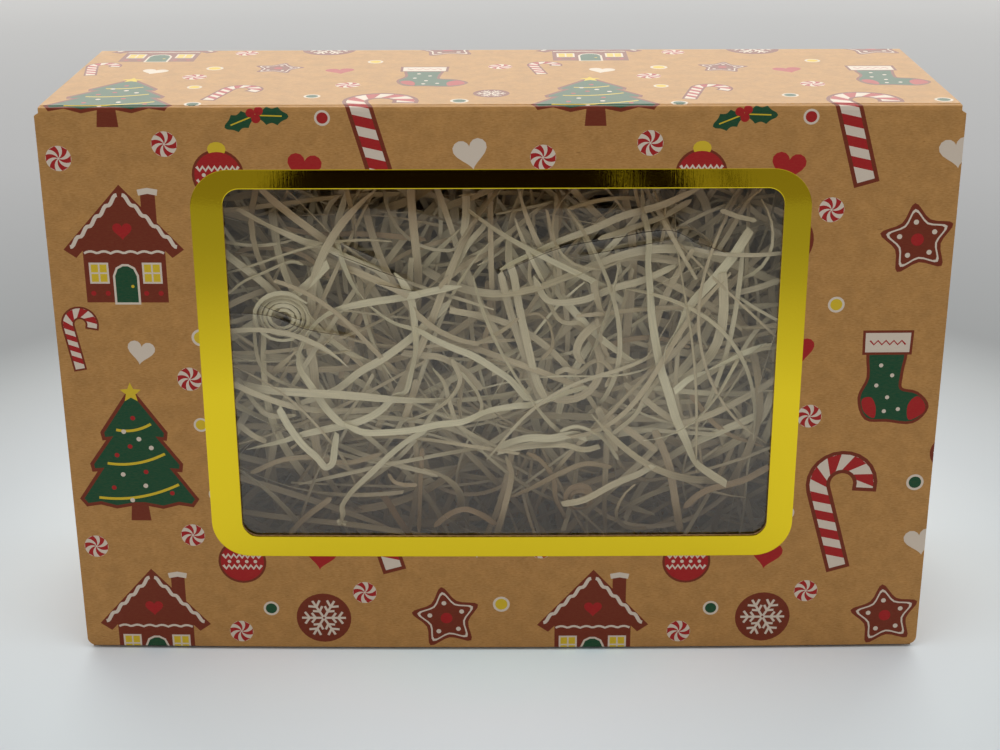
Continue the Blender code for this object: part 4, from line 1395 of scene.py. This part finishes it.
def ribbon_mesh(lines, twist, width, slant):
    """Points and triangles of thin cupped ribbons, from arrays of ribbons by steps.

    The width lies square to the line, turned by the twist from the picture plane towards the depth. The
    section has six points: its middle is raised by a share of the width, on both faces. At either end the
    cut slants: one edge runs on by a share of the width.
    """
    ahead = np.gradient(lines, axis=1)
    ahead /= np.linalg.norm(ahead, axis=-1, keepdims=True)
    level = np.cross(ahead, (0.0, 1.0, 0.0))
    level /= np.maximum(np.linalg.norm(level, axis=-1, keepdims=True), 1e-6)
    deep = np.cross(level, ahead)
    across = np.cos(twist)[..., None] * level + np.sin(twist)[..., None] * deep
    thick = np.cross(ahead, across)
    side, face, cup = SECTION.T[:, :, None]
    reach = width[..., None, None]
    section = lines[:, :, None] + reach * side * across[:, :, None]
    section = section + (face * RIBBON_THICKNESS / 2 - cup * CUP * reach) * thick[:, :, None]
    for end in (0, -1):
        section[:, end] += (slant[:, end, None, None] * reach[:, end] * side) * ahead[:, end, None]
    ribbons, steps, count = *lines.shape[:2], len(SECTION)
    row, point = np.arange(steps - 1)[:, None] * count, np.arange(count)
    sides = rungs(row + (point + 1) % count, row + point, count).reshape(-1, 3)
    one = np.concatenate([sides, END_CAP, END_CAP[:, ::-1] + count * (steps - 1)])[:, ::-1]
    triangles = one[None] + count * steps * np.arange(ribbons)[:, None, None]
    return section.reshape(-1, 3), triangles.reshape(-1, 3)


def torn(rng, width, steps, share):
    """Ribbon widths that narrow over a share of the length at each end: some ends are cut off, some run to a point."""
    t = np.linspace(0, 1, steps)
    ends = rng.uniform(0.12, 0.95, (2, len(width), 1))
    start, end = ends[0] + (1 - ends[0]) * t / share, ends[1] + (1 - ends[1]) * (1 - t) / share
    return width[:, None] * np.clip(np.minimum(start, end), 0, 1)


def loose_ribbons(rng, count, steps, depths, length, foot, widths, turn):
    """Random ribbons whose middles lie at the given range of depths. Most bend a little and few curl up.

    A heading, a slope and a twist each swing as a wave of random size, count and start. Over the tuck flap
    the whole mass leans back, by LEAN mm at the foot.
    """
    t = np.linspace(-0.5, 0.5, steps)

    def pick(low, high):
        return rng.uniform(low, high, (count, 1))

    def wave(size, turns):
        return pick(*size) * np.sin(pick(*turns) * t + pick(0, 6.3))

    step = pick(*length) / (steps - 1)
    x, y = rng.uniform(ROOM_LOW[0], ROOM_HIGH[0], count), rng.uniform(*depths, count)
    start = np.stack([x, y, rng.uniform(ROOM_LOW[2] + foot, ROOM_HIGH[2], count)], -1)
    curled = rng.normal(0, 1.2, (count, 1))
    bend = curled * np.where(rng.uniform(size=(count, 1)) < CURLED_SHARE, CURLED_MORE, 1.0)
    heading = pick(0, 2 * np.pi) + bend * t + wave((0.05, 0.5), (4, 11))
    slope = pick(-0.25, 0.25) + wave((0.05, 0.5), (4, 9))
    way = np.stack([np.cos(heading) * np.cos(slope), np.sin(slope), np.sin(heading) * np.cos(slope)], -1)
    line = np.cumsum(way * step[..., None], 1)
    line += start[:, None] - line.mean(1, keepdims=True)
    twist = turn * (pick(-1.2, 1.2) + pick(-2.8, 2.8) * t + wave((0, 0.7), (6, 14)))
    line[..., 1] += LEAN * np.interp(line[..., 2], LEAN_HEIGHTS, (1, 0))
    width = widths[0] + (widths[1] - widths[0]) * rng.uniform(size=count) ** 1.3
    return clear_of_flap(kept_inside(line)), twist, torn(rng, width, steps, 0.07)


def guided_ribbons(rng, routes, steps):
    """Ribbons along given routes: Catmull-Rom curves through the places, at even steps of their length."""
    t = np.linspace(0, 1, steps)
    lines, twists = [], []
    for depth, _, turns, places in routes:
        curve = smooth_line(places)
        run = run_along(curve)
        x, z = (np.interp(t * run[-1], run, curve[:, k]) for k in (0, 1))
        lines.append(np.stack([x, depth + 0.7 * np.sin(rng.uniform(3, 9) * t + rng.uniform(0, 6.3)), z], -1))
        twists.append(np.radians(np.interp(t, np.linspace(0, 1, len(turns)), turns)) * rng.choice((-1, 1)))
    width = np.array([route[1] for route in routes])
    return kept_inside(np.array(lines)), np.array(twists), torn(rng, width, steps, 0.05)


# %% [markdown]
# The wood is pale and slightly green, with fine grain along each ribbon and a silky sheen across it.
# Ribbons differ a little in tone, so each carries its own number in an attribute that shifts its colour.
# The same attribute carries painted shade: ribbons are painted darker and browner near the box's head
# and foot and deeper in the box.

# %% Wood wool finish

# Painted shade. Each is a list of heights or depths in mm, and the share of a ribbon's tone that is left
# there: ribbons are painted darker and browner near the box's head and foot and deeper in the box.
PAINTED_SHADE_BY_HEIGHT = ((45, 85, 158, 178), (0.55, 1, 1, 0.25))
PAINTED_SHADE_BY_DEPTH = ((-32, 5), (1, 0.6))


def wood_ribbon(name, pale, dark):
    """Planed wood. Its real grain is finer than 0.34 mm, and is drawn that coarse so that it shows."""
    made, tree, shader = new_material(name)
    along = add(tree, "UVMap", uv_map="sheet").outputs["UV"]
    grain = grains(tree, along, (0.34, 14, FLAT), Detail=2.0, Distortion=0.4)
    # The tone attribute holds each ribbon's own tone times the painted shade.
    tone = add(tree, "Attribute", attribute_name="tone").outputs["Fac"]
    colour = add(tree, "Mix", {0: tone, 6: seen(dark), 7: seen(pale)}, data_type="RGBA").outputs[2]
    streak = {"Value": grain, "From Min": 0.3, "From Max": 0.7, "To Min": 0.86, "To Max": 1.05}
    streak = add(tree, "MapRange", streak).outputs["Result"]
    grained = add(tree, "Mix", {0: 1.0, 6: colour, 7: streak}, data_type="RGBA", blend_type="MULTIPLY")
    relief = add(tree, "Bump", {"Height": grain, "Strength": 0.18, "Distance": 0.04 * MM})
    feed(shader, {"Base Color": grained.outputs[2], "Normal": relief.outputs["Normal"]})
    feed(shader, {"Roughness": 0.42, "IOR": 1.48})
    return made


wool_finish = wood_ribbon("planed_wood_ribbon", "#ECE4BE", "#8E6228")


def wool_piece(name, lines, twist, width, rng, tones):
    """One piece of many ribbons, with the sheet coordinates and the tone that the finish reads.

    Each ribbon has a tone of its own, and over it lies painted shade: all are painted darker and browner
    near the box's head and foot and in its depth, standing in for the shade and the kraft-coloured light there.
    """
    ribbons = len(lines)
    points, triangles = ribbon_mesh(lines, twist, width, rng.uniform(-1.0, 1.0, (ribbons, 2)))
    run = run_along(lines)
    shift = rng.uniform(0, 400, (ribbons, 1))
    edge = SECTION[:, 0]
    flat = np.stack([width[..., None] * edge, np.broadcast_to((run + shift)[..., None], (*run.shape, len(edge)))], -1)
    made = mesh_piece(name, points, triangles, [wool_finish], None, flat.reshape(-1, 2), crease=60)
    tone = made.data.attributes.new("tone", "FLOAT", "POINT")
    tone_with_painted_shade = rng.uniform(*tones, ribbons)[:, None] * np.interp(lines[..., 2], *PAINTED_SHADE_BY_HEIGHT)
    tone_with_painted_shade = tone_with_painted_shade * np.interp(lines[..., 1], *PAINTED_SHADE_BY_DEPTH)
    tone.data.foreach_set("value", np.repeat(tone_with_painted_shade, len(SECTION)).astype(np.float32))
    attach(made, "tray")
    print(name, "has", ribbons, "ribbons and", len(triangles), "triangles")
    return made


# %% [markdown]
# The ribbons that lie against the window give the filling its look, so they follow routes of their
# own: a depth, a width, some turns about their length in degrees, and the places (x, z) they pass, in
# mm. The rest of the mass behind them is loose and random.

# %% Ribbons against the window

ROUTES = (
    (-46.5, 2.7, (10, 0, 0, 50, 70, 30, 10), ((-14, 145), (-21, 144), (-35, 141), (-48, 139), (-60, 136),
        (-68, 130), (-73, 121), (-74, 116), (-73, 112), (-69, 105), (-65, 98), (-60, 92), (-56, 90))),
    (-46, 2.4, (35, 10, 0, 30, 60, 40, 65, 75), ((-58, 91), (-51, 88), (-42, 88), (-32, 89), (-23, 91),
        (-14, 92), (-5, 96), (5, 98), (13, 99), (23, 103), (32, 106))),
    (-47, 2.7, (0, 0, 0, 20, 40), ((-82, 98), (-79, 91), (-74, 83), (-69, 78), (-66, 74), (-65, 74),
        (-63, 76), (-62, 82), (-61, 88))),
    (-45.5, 2.8, (60, 30, 0, 0, 40, 60, 30, 20), ((-95, 81), (-82, 84), (-73, 87), (-59, 90), (-52, 92),
        (-45, 96), (-39, 102), (-35, 104), (-33, 111), (-31, 120), (-31, 128), (-32, 139), (-35, 146),
        (-38, 150))),
    (-46.5, 3.4, (0, 0, 0, 15, 60, 70), ((89, 166), (83, 156), (77, 148), (69, 138), (65, 129), (61, 122),
        (60, 116))),
    (-45.5, 3.2, (60, 50, 45, 30, 20, 0, 10, 60, 30), ((50, 181), (51, 172), (53, 163), (53, 153), (54, 143),
        (55, 132), (57, 121), (59, 112), (62, 103), (65, 93), (69, 84), (73, 75), (79, 70), (85, 66))),
    (-46.5, 2.7, (65, 20, 45, 60, 20, 0), ((97, 123), (89, 119), (81, 115), (75, 112), (69, 109), (64, 104))),
    (-45, 2.7, (20, 45, 40, 60, 50, 20, 0, 10, 30), ((-54, 181), (-56, 174), (-58, 168), (-58, 160),
        (-56, 152), (-52, 143), (-47, 137), (-39, 131), (-30, 128), (-25, 125), (-17, 121), (-10, 118),
        (-1, 112), (4, 108), (10, 100))),
    (-44, 2.9, (10, 0, 0, 15, 20), ((-18, 139), (-28, 129), (-36, 122), (-44, 116), (-52, 111), (-61, 104),
        (-74, 99))),
    (-46, 2.4, (10, 20, 10, 30, 50), ((-27, 89), (-35, 84), (-42, 78), (-49, 71), (-56, 64), (-60, 58),
        (-60, 54), (-61, 51))),
    (-45, 2.7, (0, 0, 10), ((-12, 182), (-12, 173), (-13, 164))),
    (-44.5, 2.1, (70, 60, 10, 30, 20), ((-1, 182), (-2, 174), (-6, 167), (-11, 161), (-15, 154), (-21, 145))),
    (-45.5, 2.7, (30, 10, 0, 10, 35, 40), ((70, 181), (57, 175), (44, 171), (33, 166), (22, 162), (13, 158),
        (5, 154), (0, 151))),
    (-43.5, 2, (20, 40, 20), ((68, 176), (57, 170), (45, 165), (35, 162))),
    (-46, 2.1, (20, 30), ((78, 173), (84, 171), (91, 169))),
    (-45, 2.5, (20, 40, 0, 0, 30, 20), ((-93, 174), (-88, 171), (-83, 168), (-71, 162), (-64, 160),
        (-58, 157), (-45, 151), (-40, 146))),
    (-42.5, 3, (50, 20, 0, 10, 60, 20, 30), ((68, 152), (58, 154), (47, 155), (40, 153), (35, 150), (34, 144),
        (36, 136), (38, 132), (33, 128), (29, 123), (28, 118), (30, 114))),
    (-43, 2.7, (30, 10, 0, 20), ((12, 148), (16, 140), (21, 138), (31, 139), (41, 143), (51, 146), (63, 152))),
    (-42, 2, (40, 20, 70), ((20, 178), (20, 162), (20, 150), (19, 139))),
    (-41, 1.7, (60, 40, 50), ((11, 180), (12, 168), (11, 155), (11, 145), (17, 138), (21, 131), (25, 129),
        (29, 129), (34, 125))),
    (-42.5, 2.8, (40, 50, 0, 10, 0, 20), ((8, 180), (4, 168), (3, 155), (5, 147), (7, 135), (10, 121),
        (13, 108), (17, 99))),
    (-41, 2.7, (10, 0, 10), ((0, 149), (4, 132), (9, 116), (15, 98))),
    (-42, 2.1, (60, 50, 20, 0), ((78, 146), (79, 143), (81, 140), (87, 141), (94, 143), (101, 146))),
    (-41, 2.1, (70, 60, 0), ((74, 137), (78, 131), (85, 128), (91, 127), (103, 128))),
    (-40.5, 1.7, (40, 50, 40), ((48, 150), (46, 141), (44, 131), (44, 122), (45, 113), (47, 107))),
    (-41.5, 2.4, (20, 0, 10, 40), ((104, 109), (93, 101), (83, 95), (73, 91), (67, 90), (60, 94), (55, 98),
        (46, 105))),
    (-43.5, 2.3, (10, 30, 10, 40), ((-97, 109), (-94, 103), (-91, 98), (-86, 94), (-76, 94))),
    (-43.5, 2.1, (20, 50), ((-98, 90), (-94, 87), (-88, 83))),
    (-44.5, 3, (20, 0, 10), ((-1, 81), (10, 85), (19, 85), (28, 86), (32, 84))),
    (-43.8, 2.4, (30, 50, 60), ((-1, 79), (10, 81), (23, 82), (31, 80), (37, 81))),
    (-45.5, 1.4, (40, 60, 30), ((22, 88), (28, 90), (34, 88), (39, 84), (44, 76))),
    (-45, 2.4, (0, 30, 10), ((57, 74), (51, 70), (43, 66), (32, 60), (23, 58))),
    (-42, 2, (50, 30, 20, 40), ((-25, 112), (-21, 106), (-19, 98), (-16, 90), (-10, 85), (0, 79))),
    (-42.8, 1.9, (30, 40), ((-18, 116), (-15, 108), (-18, 101), (-24, 96), (-36, 91))),
    (-43.2, 1.9, (30, 60), ((-15, 111), (-9, 103), (-7, 97), (-9, 93))),
    (-43, 1.7, (30, 50), ((-47, 110), (-51, 103), (-54, 98), (-59, 92))),
    (-41, 2.5, (0, 20), ((-31, 107), (-33, 100), (-36, 92))),
    (-41.5, 2.4, (0, 20, 10), ((-36, 118), (-28, 117), (-22, 116), (-14, 111), (-7, 103))),
    (-42, 1.6, (40, 20, 60), ((-90, 132), (-90, 123), (-89, 115), (-86, 110), (-80, 106), (-72, 103),
        (-63, 101))),
    (-42.5, 1.5, (50, 30), ((-99, 141), (-93, 146), (-86, 149), (-76, 153), (-71, 152))),
    (-40, 1.5, (30, 60, 30), ((10, 132), (14, 132), (18, 128), (19, 120), (15, 114))),
    (-40.5, 1.9, (30, 60, 20), ((20, 109), (24, 111), (29, 110), (33, 113), (37, 114), (41, 110), (39, 104))),
    (-41, 2.8, (10, 20), ((36, 96), (39, 89), (43, 78))),
    (-41.5, 2.1, (30, 20), ((59, 108), (54, 101), (50, 93), (42, 85))),
    (-39.5, 2.7, (10, 0), ((36, 95), (48, 86), (59, 77))),
    (-38, 2.9, (10, 0, 20), ((58, 85), (63, 73), (65, 65), (67, 54), (69, 43))),
    (-37, 2.4, (30, 10, 40), ((102, 70), (92, 64), (78, 59), (70, 52))),
    (-38.5, 2.3, (40, 10, 20), ((4, 58), (13, 62), (23, 68), (32, 72), (42, 70))),
    (-36, 2.1, (20, 40), ((10, 75), (15, 72), (20, 65), (21, 56), (25, 47))),
    (-37, 2.1, (10, 20), ((-65, 57), (-75, 49), (-82, 41))),
    (-40, 2.3, (40, 20, 0), ((2, 76), (4, 67), (1, 53), (-2, 42))),
    (-34, 1.9, (20, 40), ((-30, 76), (-31, 60), (-32, 40))),
    (-33, 2.8, (10, 20), ((-47, 58), (-38, 43), (-35, 38))),
    (-38, 1.5, (50, 30), ((-43, 67), (-41, 64), (-38, 63), (-32, 63))),
    (-36, 2.1, (20, 40, 10), ((-26, 44), (-20, 49), (-14, 51), (-8, 49), (-2, 45))),
    (-37.5, 1.7, (50, 20, 30), ((-99, 152), (-93, 156), (-84, 157), (-75, 156), (-68, 152), (-62, 145))),
    (-38.5, 2.8, (0, 10, 30), ((-70, 137), (-60, 130), (-51, 125), (-40, 120), (-35, 117))),
    (-37.5, 2.2, (0, 20), ((-49, 135), (-54, 125), (-56, 117), (-60, 106))),
    (-36.5, 2.1, (20, 0), ((-78, 164), (-66, 162), (-54, 162), (-40, 161), (-27, 160))),
    (-37, 1.9, (30, 0), ((-40, 151), (-33, 155), (-22, 159), (-14, 160))),
    (-36, 2.1, (10, 30), ((-5, 144), (-4, 136), (-4, 128), (-6, 120), (-3, 111))),
    (-35, 2.1, (10, 30), ((72, 159), (81, 154), (88, 148), (97, 144))),
    (-36, 2.2, (0, 30), ((37, 117), (47, 121), (59, 121), (70, 118))),
    (-38, 1.2, (40, 60, 40), ((60, 164), (68, 164), (74, 161), (78, 156), (80, 152))),
    (-37, 2.1, (10, 40), ((71, 99), (79, 89), (88, 82), (99, 78))),
    (-38, 1.8, (20, 40), ((-95, 68), (-84, 73), (-72, 74), (-59, 72), (-45, 76))),
    (-46.8, 1.3, (0, 60), ((-62, 52), (-61, 51), (-59, 50))),
    (-47, 1.1, (30, 0), ((-60, 52.5), (-61, 51), (-61.5, 50))),
    (-47.2, 1.2, (0, 40), ((-62, 50.5), (-60.5, 51), (-58.5, 51.5))),
)


def coil(centre, outer, inner, turns):
    """A curled shaving: a spiral whose radius shrinks evenly with its angle."""
    angle = np.linspace(0.6, 0.6 + turns * 2 * np.pi, int(turns * 9))
    reach = np.linspace(outer, inner, len(angle))
    return tuple(zip(centre[0] + reach * np.cos(angle), centre[1] + 0.9 * reach * np.sin(angle)))


COILS = (
    (-45.5, 1.6, (20, 50, 30), coil((-79, 133), 11.0, 3.5, 4.2)),
    (-36.0, 2.0, (30, 60), coil((30, 56), 6.0, 2.0, 2.3)),
)
ROUTE_STEPS = 72
# Painted shade: the ribbons against the window are painted darker the deeper their route lies.
ROUTE_PAINTED_SHADE_BY_DEPTH = ((-47, -43, -38, -33), (0.85, 0.6, 0.3, 0.12))
rng = np.random.default_rng(WOOL_SEED)
tones = np.interp([route[0] for route in ROUTES + COILS], *ROUTE_PAINTED_SHADE_BY_DEPTH)
nearest = wool_piece(
    "wood_wool_nearest", *guided_ribbons(rng, ROUTES + COILS, ROUTE_STEPS), rng, (tones, tones + 0.15)
)
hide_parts(*(f"shred_strand_{number:02d}" for number in range(1, 33)))

# %% [markdown]
# Behind them the mass is loose. A layer is a name, a number of ribbons, their steps, and ranges in mm of
# their depth and length. Then come the height of its foot, the range of their widths, a share of turning
# and the range of their tones. The layers further back are wider, plainer and made with fewer steps.

# %% Loose wood wool

LAYERS = (
    ("wood_wool_front", 44, 44, (-38, -31), (90, 200), 65, (0.6, 3.0), 1.0, (0.45, 0.85)),
    ("wood_wool_second", 290, 40, (-36, -24), (110, 240), 50, (0.9, 3.2), 0.7, (0.45, 0.82)),
    ("wood_wool_middle", 380, 34, (-27, -6), (110, 240), 20, (1.5, 3.8), 0.5, (0.5, 0.85)),
    ("wood_wool_deep", 300, 24, (-10, 26), (110, 240), 0, (1.8, 4.0), 0.5, (0.5, 0.9)),
    ("wood_wool_back", 260, 18, (20, 47), (110, 240), 0, (1.8, 4.0), 0.5, (0.4, 0.9)),
)
for name, *recipe, tones in LAYERS:
    layer = wool_piece(name, *loose_ribbons(rng, *recipe), rng, tones)
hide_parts("wood_wool_bed")

# %% [markdown]
# The corner flaps lie hidden between the side walls' two layers. Their CAD solids have the right shape,
# so they stay and only get the board's finish.

# %% Corner flaps

for name in ("left_upper", "left_lower", "right_upper", "right_lower"):
    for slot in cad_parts[name + "_corner_flap"].material_slots:
        slot.material = board_finishes[EDGE_WEAR]
